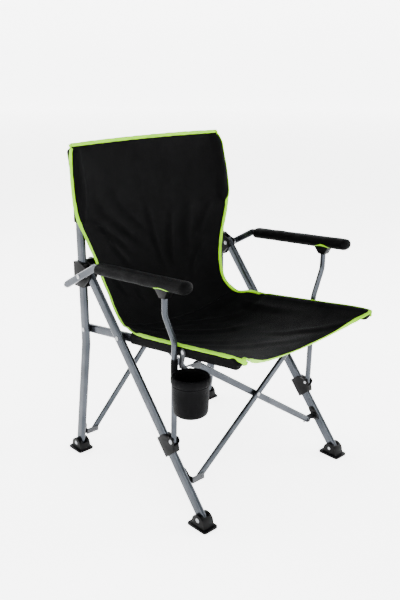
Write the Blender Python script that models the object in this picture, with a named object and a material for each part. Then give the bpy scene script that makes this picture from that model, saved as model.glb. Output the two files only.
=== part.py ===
"""Folding camp chair: steel side frames, front and rear cross braces, fabric sling and cup holder.

Metres, +Z up, the sitter faces -Y. Side pieces are drawn on the right (+X) and mirrored for the left.
Points written (y, z) lie in a side frame's own plane, before the chair is stood STAND_FORWARD further on.
"""

import math

import bmesh
import bpy
from mathutils import Matrix, Vector

GAP = 0.0003
WALL = 0.0013
STAND_FORWARD = 0.0075
X_AXIS = Vector((1, 0, 0))
Y_AXIS = Vector((0, 1, 0))

# Centre planes of the tubes on one side, from the inside out
RAIL_X = 0.2415
UPRIGHT_X = 0.257
LEG_X = 0.260
ARMREST_X = 0.2905

# Tube sections, depth by thickness
UPRIGHT = (0.030, 0.015)
LEG = (0.030, 0.015)
RAIL = (0.025, 0.013)
ARMREST = (0.020, 0.012)
BRACE = (0.018, 0.010)
SUPPORT_D = 0.015

# Pivots and tube lines (y, z)
HUB_PIVOT = (0.2215, 0.554)
SEAT_PIVOT = (0.259, 0.3885)
REAR_PIN = (0.3117, 0.0220)
FRONT_PIN = (-0.2156, 0.0220)
UPRIGHT_KINK = (0.259, 0.347)
UPRIGHT_BEND = (0.259, 0.775)
UPRIGHT_TOP = (0.283, 0.862)
UPRIGHT_LEAN_IN = 0.0055
RAIL_RISE = 0.122
RAIL_FRONT_Y = -0.3040
ARM_TAIL = (0.2840, 0.5196)
ARM_BEND = (0.1521, 0.5923)
ARM_TIP = (-0.1900, 0.6165)
SUPPORT_TOP = (-0.1208, 0.5960)
SUPPORT_FOOT = (-0.1110, 0.1940)

# Slider hub
HUB_LOW, HUB_HIGH = 0.514, 0.581
HUB_IN, HUB_OUT = 0.2462, 0.2712
HUB_FRONT, HUB_BACK = 0.2397, 0.2790

# Cross braces: the lower and upper pivots of each pair
REAR_LOW = Vector((0.215, 0.306, 0.056))
REAR_HIGH = Vector((0.224, 0.259, 0.578))
FRONT_LOW = Vector((0.218, -0.155, 0.100))
FRONT_HIGH = Vector((0.199, -0.1345, 0.3887))
SEAT_LINK_PIN = (-0.1385, 0.4370)
SEAT_LINK_X = (0.2517, 0.2539)
SEAT_LINK_STEP = 0.0050
ARM_THICK = 0.0022
LAYER = 0.0054

# Soft parts
SLEEVE_SKIN = 0.0033
SHEET = 0.004
BACK_SLEEVE_LOW = 0.690
SEAT_SLEEVE_REAR = 0.066
BACK_SLEEVE = (0.039, 0.032)
BACK_EDGE = (
    (0.2105, 0.1930, 0.463),
    (0.2140, 0.2060, 0.492),
    (0.2240, 0.2180, 0.535),
    (0.2370, 0.2250, 0.582),
    (0.2520, 0.2310, 0.630),
    (0.2640, 0.2370, 0.680),
    (0.2620, 0.2425, 0.730),
    (0.2600, 0.2470, 0.790),
    (0.2590, 0.2580, 0.840),
    (0.2590, 0.2700, 0.881),
)
BACK_BELLY = ((0, 0.034, -0.032), (0, 0.036, -0.012), (0, 0.034, 0.0), (0, 0.026, 0.0), (0, 0.012, 0.005))
SEAT_EDGE = (
    (0.2105, 0.1915, 0.4607),
    (0.2120, 0.1700, 0.4380),
    (0.2200, 0.1350, 0.4240),
    (0.2330, 0.0960, 0.4330),
    (0.2385, 0.0500, 0.4265),
    (0.2395, -0.0300, 0.4363),
    (0.2395, -0.1100, 0.4460),
    (0.2395, -0.1900, 0.4558),
    (0.2385, -0.2700, 0.4620),
    (0.2345, -0.3275, 0.4590),
)
SEAT_BELLY = (
    (0, 0.034, -0.032),
    (0, 0.012, -0.052),
    (0, 0.004, -0.062),
    (0, 0.010, -0.062),
    (0, 0.030, -0.058),
    (0, 0.066, -0.055),
)
PAD_REAR, PAD_FRONT = 0.1320, -0.2035
PAD_SIZE = (0.0275, 0.0365)
CUP_CENTRE = (-0.2605, -0.1747)
CUP_RIM_Z = 0.3870
CUP_RIM_R = 0.0425
CUP_ROLL = 0.0055
CUP_BOTTOM_Z = 0.2925

RIVET_R = 0.003
PIN_R = 0.0035

SIDES = (("left", -1), ("right", 1))


# ---------------------------------------------------------------- scene and materials


def clear_scene():
    for obj in list(bpy.data.objects):
        bpy.data.objects.remove(obj, do_unlink=True)


def material(name, colour, roughness, metallic=0.0):
    mat = bpy.data.materials.new(name)
    mat.use_nodes = True
    shader = mat.node_tree.nodes["Principled BSDF"]
    shader.inputs["Base Color"].default_value = (*colour, 1)
    shader.inputs["Roughness"].default_value = roughness
    shader.inputs["Metallic"].default_value = metallic
    return mat


STEEL = ((0.33, 0.34, 0.36), 0.38, 0.85)
ZINC = ((0.62, 0.63, 0.65), 0.30, 1.0)
PLASTIC = ((0.018, 0.018, 0.020), 0.45)
FABRIC = ((0.012, 0.013, 0.015), 0.85)
WEBBING = ((0.015, 0.015, 0.017), 0.80)


def body(name, pivot):
    """The empty that carries one moving body, on its joint's axis."""
    empty = bpy.data.objects.new(name, None)
    empty.location = pivot
    bpy.context.scene.collection.objects.link(empty)
    return empty


def finish(name, bm, look, carrier, side=1):
    """The mesh as an object on its body's empty, mirrored in X for the left side."""
    if side < 0:
        bmesh.ops.scale(bm, vec=(-1, 1, 1), verts=bm.verts)
        bmesh.ops.reverse_faces(bm, faces=bm.faces)
    mesh = bpy.data.meshes.new(name)
    bm.to_mesh(mesh)
    bm.free()
    mesh.transform(Matrix.Translation(-carrier.location))
    mesh.shade_smooth()
    mesh.set_sharp_from_angle(angle=math.radians(35))
    obj = bpy.data.objects.new(name, mesh)
    bpy.context.scene.collection.objects.link(obj)
    obj.parent = carrier
    obj.data.materials.append(material(name, *look))
    return obj


def combine(obj, bm, operation, side=1):
    """Boolean `obj` with a hidden helper solid."""
    if side < 0:
        bmesh.ops.scale(bm, vec=(-1, 1, 1), verts=bm.verts)
        bmesh.ops.reverse_faces(bm, faces=bm.faces)
    mesh = bpy.data.meshes.new(f"{obj.name}.tool")
    bm.to_mesh(mesh)
    bm.free()
    helper = bpy.data.objects.new(f"{obj.name}.tool", mesh)
    helper.hide_render = True
    helper.display_type = "WIRE"
    bpy.context.scene.collection.objects.link(helper)
    modifier = obj.modifiers.new(operation.title(), "BOOLEAN")
    modifier.operation = operation
    modifier.object = helper


def cut(obj, bm, side=1):
    combine(obj, bm, "DIFFERENCE", side)


def join(obj, bm, side=1):
    combine(obj, bm, "UNION", side)


# ---------------------------------------------------------------- shapes


def at(x, point):
    """A side-frame point (y, z) at height x across."""
    return Vector((x, point[0], point[1]))


def arc(centre, radius, start, end, steps):
    """Points along an arc, angles in degrees."""
    turns = [math.radians(start + (end - start) * i / steps) for i in range(steps + 1)]
    return [(centre[0] + radius * math.cos(t), centre[1] + radius * math.sin(t)) for t in turns]


def oval(depth, thickness, steps=5):
    """A flat oval: two half circles joined by straight flanks. First axis is the depth."""
    r = thickness / 2
    reach = depth / 2 - r
    ends = arc((reach, 0), r, -90, 90, steps) + arc((-reach, 0), r, 90, 270, steps)
    return ends if reach > 1e-6 else arc((0, 0), r, 0, 360, 2 * steps)[:-1]


def filleted(points, radius, steps=3):
    """The polyline with each inner corner rounded."""
    path = [points[0]]
    for before, corner, after in zip(points, points[1:], points[2:]):
        a = (before - corner).normalized()
        b = (after - corner).normalized()
        half = a.angle(b) / 2
        tangent = radius / math.tan(half)
        centre = corner + (a + b).normalized() * (radius / math.sin(half))
        start = corner + a * tangent - centre
        axis = start.cross(corner + b * tangent - centre)
        for i in range(steps + 1):
            path.append(centre + Matrix.Rotation((math.pi - 2 * half) * i / steps, 3, axis) @ start)
    return path + [points[-1]]


def stations(path, across, half, rounded):
    """(point, tangent, depth direction, depth scale) along the path, with round ends about its end points."""
    tangents = [(b - a).normalized() for a, b in zip(path, path[1:])]
    found = []
    for i, point in enumerate(path):
        tangent = (tangents[max(i - 1, 0)] + tangents[min(i, len(tangents) - 1)]).normalized()
        stretch = 1 / tangent.dot(tangents[min(i, len(tangents) - 1)])
        depth = across.cross(tangent).normalized()
        found.append((point, tangent, depth, stretch))
    for end in (0, 1):
        if not rounded[end]:
            continue
        point, tangent, depth, _ = found[-end]
        away = tangent * (1 if end else -1)
        caps = [
            (point + away * half * math.sin(t), tangent, depth, math.cos(t))
            for t in (math.radians(a) for a in (32, 66))
        ]
        found = found + caps if end else caps[::-1] + found
    return found


def add_rings(bm, marks, section, outward):
    """Skin `section` over the stations; returns the first and last ring."""
    rings = []
    for point, tangent, depth, scale in marks:
        side = tangent.cross(depth)
        rings.append([bm.verts.new(point + depth * a * scale + side * b) for a, b in section])
    count = len(section)
    for low, high in zip(rings, rings[1:]):
        for i in range(count):
            quad = [low[i], low[(i + 1) % count], high[(i + 1) % count], high[i]]
            bm.faces.new(quad if outward else quad[::-1])
    return rings[0], rings[-1]


def tube(bm, path, size, across, rounded=(False, False), wall=WALL, steps=5):
    """A hollow flat-oval tube. A rounded end is closed, a plain end is open."""
    outer = add_rings(bm, stations(path, across, size[0] / 2, rounded), oval(*size, steps), True)
    bore = (size[0] - 2 * wall, size[1] - 2 * wall)
    inner = add_rings(bm, stations(path, across, bore[0] / 2, rounded), oval(*bore, steps), False)
    for end in (0, 1):
        out, within = outer[end], inner[end]
        if rounded[end]:
            bm.faces.new(out if end else out[::-1])
            bm.faces.new(within[::-1] if end else within)
            continue
        count = len(out)
        for i in range(count):
            j = (i + 1) % count
            quad = [out[i], out[j], within[j], within[i]]
            bm.faces.new(quad if end else quad[::-1])


def bar(bm, path, size, across, rounded=(False, False), steps=5):
    """A solid flat-oval bar."""
    first, last = add_rings(bm, stations(path, across, size[0] / 2, rounded), oval(*size, steps), True)
    bm.faces.new(first[::-1])
    bm.faces.new(last)


def turned(bm, origin, axis, profile, steps=10):
    """A solid of revolution. `profile` is (radius, distance along axis), from one pole to the other."""
    side = axis.orthogonal().normalized()
    other = axis.cross(side)
    rings = []
    for radius, distance in profile:
        centre = origin + axis * distance
        if radius == 0:
            rings.append([bm.verts.new(centre)])
            continue
        angles = [2 * math.pi * i / steps for i in range(steps)]
        rings.append(
            [bm.verts.new(centre + (side * math.cos(t) + other * math.sin(t)) * radius) for t in angles]
        )
    for low, high in zip(rings, rings[1:]):
        for i in range(steps):
            j = (i + 1) % steps
            if len(low) == 1:
                bm.faces.new([low[0], high[j], high[i]])
            elif len(high) == 1:
                bm.faces.new([low[i], low[j], high[0]])
            else:
                bm.faces.new([low[i], low[j], high[j], high[i]])


def rod(origin, axis, radius, start, end, steps=10):
    bm = bmesh.new()
    turned(bm, origin, axis, [(0, start), (radius, start), (radius, end), (0, end)], steps)
    return bm


def prism(bm, outline, low, high, u=Y_AXIS, v=Vector((0, 0, 1)), origin=Vector()):
    """An outline, anticlockwise in (u, v), extruded along u x v from low to high."""
    w = u.cross(v)
    floor, top = (
        [bm.verts.new(origin + u * a + v * b + w * level) for a, b in outline] for level in (low, high)
    )
    bm.faces.new(floor[::-1])
    bm.faces.new(top)
    count = len(outline)
    for i in range(count):
        j = (i + 1) % count
        bm.faces.new([floor[i], floor[j], top[j], top[i]])


def block(low, high):
    bm = bmesh.new()
    prism(bm, [(low[1], low[2]), (high[1], low[2]), (high[1], high[2]), (low[1], high[2])], low[0], high[0])
    return bm


def capsule(a, b, radius, steps=6):
    """The outline of a round-ended plate from a to b."""
    turn = math.degrees(math.atan2(b[1] - a[1], b[0] - a[0]))
    return arc(a, radius, turn + 90, turn + 270, steps) + arc(b, radius, turn - 90, turn + 90, steps)


def rivet_profile(start, end, head_r, head, tail_r=0.0, radius=RIVET_R):
    """A domed head before `start`, a shank to `end`, and a flat tail head if it has one."""
    dome = [(0, start - head), (head_r * 0.6, start - head * 0.9), (head_r, start - head * 0.3), (head_r, start)]
    shank = [(radius, start), (radius, end)]
    tail = [(tail_r, end), (tail_r, end + head * 0.5), (0, end + head * 0.5)] if tail_r else [(0, end)]
    return dome + shank + tail


# ---------------------------------------------------------------- side frame


def upright_path(lengthen=0.0):
    top = Vector((-UPRIGHT_LEAN_IN, UPRIGHT_TOP[0], UPRIGHT_TOP[1]))
    bend = Vector((0, UPRIGHT_BEND[0], UPRIGHT_BEND[1]))
    top += (top - bend).normalized() * lengthen
    corners = [at(0, REAR_PIN), at(0, UPRIGHT_KINK), bend, top]
    return [p + X_AXIS * UPRIGHT_X for p in filleted(corners, 0.09)]


def rail_z(y):
    return SEAT_PIVOT[1] + RAIL_RISE * (SEAT_PIVOT[0] - y)


def leg_point(z):
    """The front leg's axis at height z, as (y, z)."""
    share = (z - FRONT_PIN[1]) / (HUB_PIVOT[1] - FRONT_PIN[1])
    return (FRONT_PIN[0] + (HUB_PIVOT[0] - FRONT_PIN[0]) * share, z)


def rear_upright(side, name, carrier):
    bm = bmesh.new()
    tube(bm, upright_path(), UPRIGHT, X_AXIS, rounded=(True, False), steps=4)
    obj = finish(f"rear_upright_{name}", bm, STEEL, carrier, side)
    for point in (REAR_PIN, SEAT_PIVOT):
        cut(obj, rod(at(UPRIGHT_X, point), X_AXIS, PIN_R + GAP, -0.02, 0.02), side)


def front_leg(side, name, carrier):
    bm = bmesh.new()
    tube(bm, [at(LEG_X, FRONT_PIN), at(LEG_X, HUB_PIVOT)], LEG, X_AXIS, rounded=(True, True), steps=4)
    obj = finish(f"front_leg_{name}", bm, STEEL, carrier, side)
    for point in (FRONT_PIN, HUB_PIVOT, crossing()):
        cut(obj, rod(at(LEG_X, point), X_AXIS, PIN_R + GAP, -0.02, 0.02), side)


def crossing():
    """Where the front leg crosses the seat rail, as (y, z)."""
    y0, z0 = FRONT_PIN
    slope = (HUB_PIVOT[0] - y0) / (HUB_PIVOT[1] - z0)
    z = (SEAT_PIVOT[1] + RAIL_RISE * (SEAT_PIVOT[0] - y0 + slope * z0)) / (1 + RAIL_RISE * slope)
    return leg_point(z)


def rail_path(front=RAIL_FRONT_Y, rear=SEAT_PIVOT[0]):
    return [at(RAIL_X, (front, rail_z(front))), at(RAIL_X, (rear, rail_z(rear)))]


def seat_rail(side, name, carrier):
    bm = bmesh.new()
    tube(bm, rail_path(), RAIL, X_AXIS, rounded=(False, True))
    obj = finish(f"seat_rail_{name}", bm, STEEL, carrier, side)
    cut(obj, rod(at(RAIL_X, SEAT_PIVOT), X_AXIS, PIN_R + GAP, -0.02, 0.02), side)
    cut(obj, rod(at(RAIL_X, SEAT_LINK_PIN), X_AXIS, RIVET_R + GAP, 0.003, 0.02), side)


def armrest_tube(side, name, carrier):
    bm = bmesh.new()
    path = filleted([at(ARMREST_X, p) for p in (ARM_TAIL, ARM_BEND, ARM_TIP)], 0.018)
    tube(bm, path, ARMREST, X_AXIS, rounded=(True, False), steps=4)
    obj = finish(f"armrest_tube_{name}", bm, STEEL, carrier, side)
    cut(obj, rod(at(ARMREST_X, HUB_PIVOT), X_AXIS, PIN_R + GAP, -0.02, 0.02), side)


def support_point(x, z):
    share = (z - SUPPORT_FOOT[1]) / (SUPPORT_TOP[1] - SUPPORT_FOOT[1])
    return at(x, (SUPPORT_FOOT[0] + (SUPPORT_TOP[0] - SUPPORT_FOOT[0]) * share, z))


def arm_support_tube(side, name, carrier):
    """Upright under the armrest, cranked inwards to meet the clamp on the front leg."""
    corners = [
        at(LEG_X, SUPPORT_FOOT),
        support_point(LEG_X, 0.458),
        support_point(ARMREST_X, 0.535),
        at(ARMREST_X, SUPPORT_TOP),
    ]
    bm = bmesh.new()
    path = filleted(corners, 0.055)
    tube(bm, path, (SUPPORT_D, SUPPORT_D), X_AXIS, rounded=(True, False), steps=5)
    obj = finish(f"arm_support_tube_{name}", bm, STEEL, carrier, side)
    cut(obj, rod(at(LEG_X, SUPPORT_FOOT), X_AXIS, RIVET_R + GAP, -0.02, 0.02), side)


def slider_hub(side, name, carrier):
    """Plastic collar that slides on the upright, with ears for the leg and a lug for the rear brace."""
    bm = bmesh.new()
    outline = [(HUB_BACK, HUB_LOW), (HUB_BACK, HUB_HIGH), (HUB_FRONT + 0.005, HUB_HIGH)]
    outline += arc(HUB_PIVOT, 0.0155, 90, 235, 7) + [(HUB_FRONT, HUB_LOW)]
    prism(bm, outline, HUB_IN, HUB_OUT)
    obj = finish(f"slider_hub_{name}", bm, PLASTIC, carrier, side)
    shaft = bmesh.new()
    channel = (UPRIGHT[0] + 2 * GAP, UPRIGHT[1] + 2 * GAP)
    bar(shaft, [at(UPRIGHT_X, (0.259, 0.50)), at(UPRIGHT_X, (0.259, 0.60))], channel, X_AXIS, steps=8)
    cut(obj, shaft, side)
    cut(obj, block((LEG_X - 0.008, 0.18, 0.50), (LEG_X + 0.008, HUB_FRONT - 0.0012, 0.60)), side)
    cut(obj, rod(at(LEG_X, HUB_PIVOT), X_AXIS, PIN_R + GAP, -0.03, 0.03), side)
    up, _ = brace_frame(REAR_LOW, REAR_HIGH)
    lug = bmesh.new()
    root = HUB_IN + 0.0016
    outline = arc((REAR_HIGH.x, 0), 0.009, 90, 270, 6) + [(root, -0.009), (root, 0.009)]
    near, far = 0.0012, 0.0062
    thick = (-far, -near) if side > 0 else (near, far)
    prism(lug, outline, *thick, u=X_AXIS, v=up, origin=seat_of(REAR_HIGH))
    join(obj, lug, side)


def seat_of(pivot):
    """The pivot's place in the side plane, at x = 0."""
    return Vector((0, pivot.y, pivot.z))


def hub_pivot(side, name, carrier):
    """Long shouldered rivet through the hub's ears, the leg and the armrest."""
    ear_out, arm_in, arm_out = HUB_OUT + GAP, ARMREST_X - ARMREST[1] / 2 - GAP, ARMREST_X + ARMREST[1] / 2 + GAP
    profile = rivet_profile(HUB_IN - GAP, ear_out, 0.0062, 0.0026, radius=PIN_R)[:-1]
    profile += [(0.007, ear_out), (0.007, arm_in), (PIN_R, arm_in), (PIN_R, arm_out)]
    profile += [(0.0062, arm_out), (0.0062, arm_out + 0.001), (0.0037, arm_out + 0.0024), (0, arm_out + 0.0026)]
    bm = bmesh.new()
    turned(bm, at(0, HUB_PIVOT), X_AXIS, profile)
    finish(f"hub_pivot_{name}", bm, ZINC, carrier, side)


def side_rivet(side, name, carrier, point, outer, inner, tail_r=0.0045, radius=PIN_R, head_r=0.0062):
    """A rivet along X with its domed head outside."""
    bm = bmesh.new()
    profile = rivet_profile(-outer, -inner, head_r, 0.0024, tail_r, radius)
    turned(bm, at(0, point), -X_AXIS, profile)
    finish(name, bm, ZINC, carrier, side)


def arm_clamp(side, name, carrier):
    """Plastic clamp on the front leg with a fork for the armrest support."""
    low, high = Vector(leg_point(0.155)), Vector(leg_point(0.197))
    along = (high - low).normalized()
    front = Vector((-along.y, along.x))
    half = LEG[0] / 2 + 0.0035
    fork = Vector(SUPPORT_FOOT)
    outline = [low + front * half, low - front * half, high - front * half, high + front * (half - 0.008)]
    outline += [Vector(p) for p in arc(SUPPORT_FOOT, 0.0105, 45, 235, 7)]
    bm = bmesh.new()
    wall = 0.0032
    prism(bm, [tuple(p) for p in outline], LEG_X - LEG[1] / 2 - wall, LEG_X + LEG[1] / 2 + wall)
    obj = finish(f"arm_clamp_{name}", bm, PLASTIC, carrier, side)
    shaft = bmesh.new()
    channel = (LEG[0] + 2 * GAP, LEG[1] + 2 * GAP)
    bar(shaft, [at(LEG_X, leg_point(0.11)), at(LEG_X, leg_point(0.25))], channel, X_AXIS, steps=8)
    cut(obj, shaft, side)
    slot = bmesh.new()
    mouth = [fork - along * 0.012 - front * 0.0085, fork + along * 0.05 - front * 0.0085]
    mouth += [fork + along * 0.05 + front * 0.05, fork - along * 0.012 + front * 0.05]
    half_slot = SUPPORT_D / 2 + GAP
    prism(slot, [tuple(p) for p in mouth], LEG_X - half_slot, LEG_X + half_slot)
    cut(obj, slot, side)
    cut(obj, rod(at(LEG_X, SUPPORT_FOOT), X_AXIS, RIVET_R + GAP, -0.02, 0.02), side)


def arm_saddle(side, name, carrier):
    """Plastic wedge that seats the armrest tube on top of its support."""
    y = SUPPORT_TOP[0]
    width = SUPPORT_D / 2 + 0.0032
    outline = [(y - 0.0100, 0.5780), (y + 0.0100, 0.5780), (y + 0.026, 0.5975)]
    outline += [(y + 0.026, 0.6025), (y - 0.021, 0.6060), (y - 0.021, 0.6000)]
    bm = bmesh.new()
    prism(bm, outline, ARMREST_X - width, ARMREST_X + width)
    obj = finish(f"arm_saddle_{name}", bm, PLASTIC, carrier, side)
    down = at(0, SUPPORT_FOOT) - at(0, SUPPORT_TOP)
    down.normalize()
    cut(obj, rod(at(ARMREST_X, SUPPORT_TOP), down, SUPPORT_D / 2 + GAP, -GAP, 0.05, 20), side)
    rail = bmesh.new()
    channel = (ARMREST[0] + 2 * GAP, ARMREST[1] + 2 * GAP)
    bar(rail, [at(ARMREST_X, ARM_BEND), at(ARMREST_X, ARM_TIP)], channel, X_AXIS, steps=4)
    cut(obj, rail, side)


def armrest_pad(side, name, carrier):
    """Foam sleeve on the armrest tube, closed at the front, with a cut-out over the saddle."""
    slope = (ARM_TIP[1] - ARM_BEND[1]) / (ARM_TIP[0] - ARM_BEND[0])

    def axis(y):
        return at(ARMREST_X, (y, ARM_BEND[1] + (y - ARM_BEND[0]) * slope))

    height, width = PAD_SIZE
    r = height / 2
    reach = width / 2 - r * 0.92
    section = arc((0, reach), r, 0, 180, 7) + arc((0, -reach), r, 180, 360, 7)
    section = [(a, b * 0.92 + (reach * 0.08 if b > 0 else -reach * 0.08)) for a, b in section]
    bm = bmesh.new()
    marks = stations([axis(PAD_FRONT + r), axis(PAD_REAR)], X_AXIS, r, (True, False))
    first, last = add_rings(bm, marks, section, True)
    bm.faces.new(first[::-1])
    bm.faces.new(last)
    obj = finish(f"armrest_pad_{name}", bm, FABRIC, carrier, side)
    channel = (ARMREST[0] + 2 * GAP, ARMREST[1] + 2 * GAP)
    bore = bmesh.new()
    bar(bore, [axis(ARM_TIP[0] - 0.001), axis(PAD_REAR + 0.02)], channel, X_AXIS, steps=4)
    cut(obj, bore, side)
    y = SUPPORT_TOP[0]
    cut(obj, block((ARMREST_X - 0.013, y - 0.024, 0.58), (ARMREST_X + 0.013, y + 0.029, 0.6075)), side)


def foot(side, name, carrier, pin, x, centre_y, length, width, lean):
    """Plastic foot: a lipped plate under a half-cylinder that holds the leg on a cross pin."""
    bm = bmesh.new()
    half_l, half_w, r = length / 2, width / 2, 0.007
    corners = [(half_w - r, half_l - r, 0), (-half_w + r, half_l - r, 90)]
    corners += [(-half_w + r, -half_l + r, 180), (half_w - r, -half_l + r, 270)]
    plate = [p for a, b, turn in corners for p in arc((a, b), r, turn, turn + 90, 3)]
    prism(bm, plate, 0, 0.005, u=X_AXIS, v=Y_AXIS, origin=Vector((x, centre_y, 0)))
    obj = finish(name, bm, PLASTIC, carrier, side)
    dome = bmesh.new()
    rise = arc((pin[0], 0.0150), 0.0210, 0, 180, 12)
    outline = [(pin[0] + 0.0240, 0.003)] + rise + [(pin[0] - 0.0240, 0.003)]
    prism(dome, outline, x - 0.017, x + 0.017)
    join(obj, dome, side)
    swing = 22
    reach = UPRIGHT[0] / 2 + 0.0007
    slot = arc(pin, reach, lean + swing + 90, lean - swing + 270, 8)
    for turn, flank in ((lean - swing, -90), (lean + swing, 90)):
        out, edge = math.radians(turn), math.radians(turn + flank)
        slot.append(
            (
                pin[0] + 0.06 * math.cos(out) + reach * math.cos(edge),
                pin[1] + 0.06 * math.sin(out) + reach * math.sin(edge),
            )
        )
    leg_slot = bmesh.new()
    half_slot = UPRIGHT[1] / 2 + 0.0005
    prism(leg_slot, slot, x - half_slot, x + half_slot)
    cut(obj, leg_slot, side)
    cut(obj, rod(at(x, pin), X_AXIS, PIN_R + GAP, -0.03, 0.03), side)


# ---------------------------------------------------------------- cross braces


def brace_frame(low, high):
    """(up, normal) of the plane that holds a pair of braces: up from the lower to the upper pivots."""
    up = (high - low) * Vector((0, 1, 1))
    up.normalize()
    return up, up.cross(X_AXIS)


def brace_ends(low, high, side):
    """Lower and upper pivot of the brace that starts on `side`, in its own layer, and the layer's shift."""
    _, normal = brace_frame(low, high)
    shift = normal * side * LAYER
    return Vector((low.x * side, low.y, low.z)) + shift, Vector((-high.x * side, high.y, high.z)) + shift


def brace_middle(low, high, side):
    """Where the two braces cross, in the layer of the one that starts on `side`."""
    share = low.x / (low.x + high.x)
    start, end = brace_ends(low, high, side)
    return start + (end - start) * share


def brace_bar(pair, side, name, carrier, low, high):
    """One cross brace, riveted at its upper end; the front brace of the pair also holds the middle rivet."""
    _, normal = brace_frame(low, high)
    start, end = brace_ends(low, high, side)
    middle = brace_middle(low, high, side)
    bm = bmesh.new()
    tube(bm, [start, end], BRACE, normal, rounded=(True, True), wall=0.0012, steps=3)
    obj = finish(f"{pair}_x_bar_{name}", bm, STEEL, carrier)
    for point in (start, end, middle):
        cut(obj, rod(point, normal, RIVET_R + GAP, -0.02, 0.02))
    outward = -normal * side
    top_facing = outward if pair == "rear" else -normal
    rivets = [(f"{pair}_x_top_rivet_{name}", end, top_facing)]
    if side < 0:
        rivets.append((f"{pair}_x_middle_rivet", middle, outward))
    face = BRACE[1] / 2
    for rivet, point, facing in rivets:
        bm = bmesh.new()
        turned(bm, point, facing, rivet_profile(-face - GAP, face, 0.0055, 0.0022))
        finish(rivet, bm, ZINC, carrier)


def brace_ear(pair, side, name, carrier, low, root, face):
    """Plastic plate on the tube's inner face, with a headed stud along X for the brace's link."""
    bm = bmesh.new()
    prism(bm, capsule((low.y, low.z), root, 0.0095), face - 0.0035, face - GAP)
    obj = finish(f"{pair}_x_ear_{name}", bm, PLASTIC, carrier, side)
    neck, head = 0.0038, 0.0064
    inner, tip = face - 0.0065, face - 0.0083
    profile = [(0, tip), (head, tip), (head, inner), (neck, inner), (neck, face - 0.002), (0, face - 0.002)]
    stud = bmesh.new()
    turned(stud, seat_of(low), X_AXIS, profile)
    join(obj, stud, side)


def angle_bracket(name, side, carrier, plate, plate_x, pivot, up, faces, raised=0.0):
    """Zinc angle: a plate in the side plane and an arm across it, between two levels along the braces' normal.

    A raised arm steps up by that much between the brace and the plate.
    """
    bm = bmesh.new()
    prism(bm, plate, *plate_x)
    obj = finish(name, bm, ZINC, carrier, side)
    levels = (-faces[1], -faces[0])
    inner = pivot.x - 0.0085
    outer = plate_x[1] - 0.0004
    strip = [(inner, -0.0085), (outer, -0.0085), (outer, 0.0085), (inner, 0.0085)]
    if raised:
        knee = pivot.x + 0.0070
        strip[1:3] = [(knee, -0.0085), (knee + 0.024, raised), (outer, raised), (outer, raised + 0.0038)]
        strip.insert(-1, (knee + 0.020, raised + 0.0038))
    arm = bmesh.new()
    prism(arm, strip, *levels, u=X_AXIS, v=up, origin=seat_of(pivot))
    join(obj, arm, side)
    return obj


def bracket_plate(pivot, up, normal, faces):
    """A rectangle about the pivot that takes in the arm; corners (y, z)."""
    low, high = min(faces[0], -0.0085), max(faces[1], 0.0085)
    corners = [(low, -0.0085), (high, -0.0085), (high, 0.0085), (low, 0.0085)]
    points = [seat_of(pivot) + normal * a + up * b for a, b in corners]
    return [(p.y, p.z) for p in points]


def brace_link(pair, side, name, carrier, low, high, face):
    """Angle between the ear's stud and the brace's lower end, which turns on the link's own pin."""
    up, normal = brace_frame(low, high)
    beside = LAYER + BRACE[1] / 2 + GAP
    faces = sorted((side * beside, side * (beside + ARM_THICK)))
    plate = bracket_plate(low, up, normal, faces)
    plate_x = (face - 0.0062, face - 0.0039)
    obj = angle_bracket(f"{pair}_x_link_{name}", side, carrier, plate, plate_x, low, up, faces)
    cut(obj, rod(seat_of(low), X_AXIS, 0.0038 + GAP, face - 0.02, face), side)
    inner = LAYER - BRACE[1] / 2 - GAP
    outer = LAYER + BRACE[1] / 2 + GAP + ARM_THICK + 0.001
    profile = [(0, inner - 0.0018), (0.005, inner - 0.0012), (0.005, inner), (RIVET_R, inner), (RIVET_R, outer)]
    pin = bmesh.new()
    turned(pin, low, normal * side, profile + [(0, outer)])
    join(obj, pin, side)


def seat_x_link(side, name, carrier):
    """Angle that hangs from the seat rail; its arm passes in front of the front brace's upper end."""
    up, normal = brace_frame(FRONT_LOW, FRONT_HIGH)
    before = -side * LAYER - BRACE[1] / 2 - GAP
    faces = (before - ARM_THICK, before)
    foot_z = FRONT_HIGH.z + SEAT_LINK_STEP
    plate = [(FRONT_HIGH.y + faces[0] - 0.0005, foot_z), (FRONT_HIGH.y + 0.0085, foot_z)]
    plate += arc(SEAT_LINK_PIN, 0.0095, 0, 180, 8)
    obj = angle_bracket(
        f"seat_x_link_{name}", side, carrier, plate, SEAT_LINK_X, FRONT_HIGH, up, faces, SEAT_LINK_STEP
    )
    cut(obj, rod(at(0, SEAT_LINK_PIN), X_AXIS, RIVET_R + GAP, 0.24, 0.27), side)


# ---------------------------------------------------------------- soft parts


def spline(points, t):
    """A smooth curve through the points, t from 0 to 1."""
    reach = t * (len(points) - 1)
    i = min(int(reach), len(points) - 2)
    f = reach - i
    p = [Vector(points[min(max(k, 0), len(points) - 1)]) for k in (i - 1, i, i + 1, i + 2)]
    return 0.5 * (
        2 * p[1]
        + (p[2] - p[0]) * f
        + (2 * p[0] - 5 * p[1] + 4 * p[2] - p[3]) * f**2
        + (3 * p[1] - p[0] - 3 * p[2] + p[3]) * f**3
    )


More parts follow.
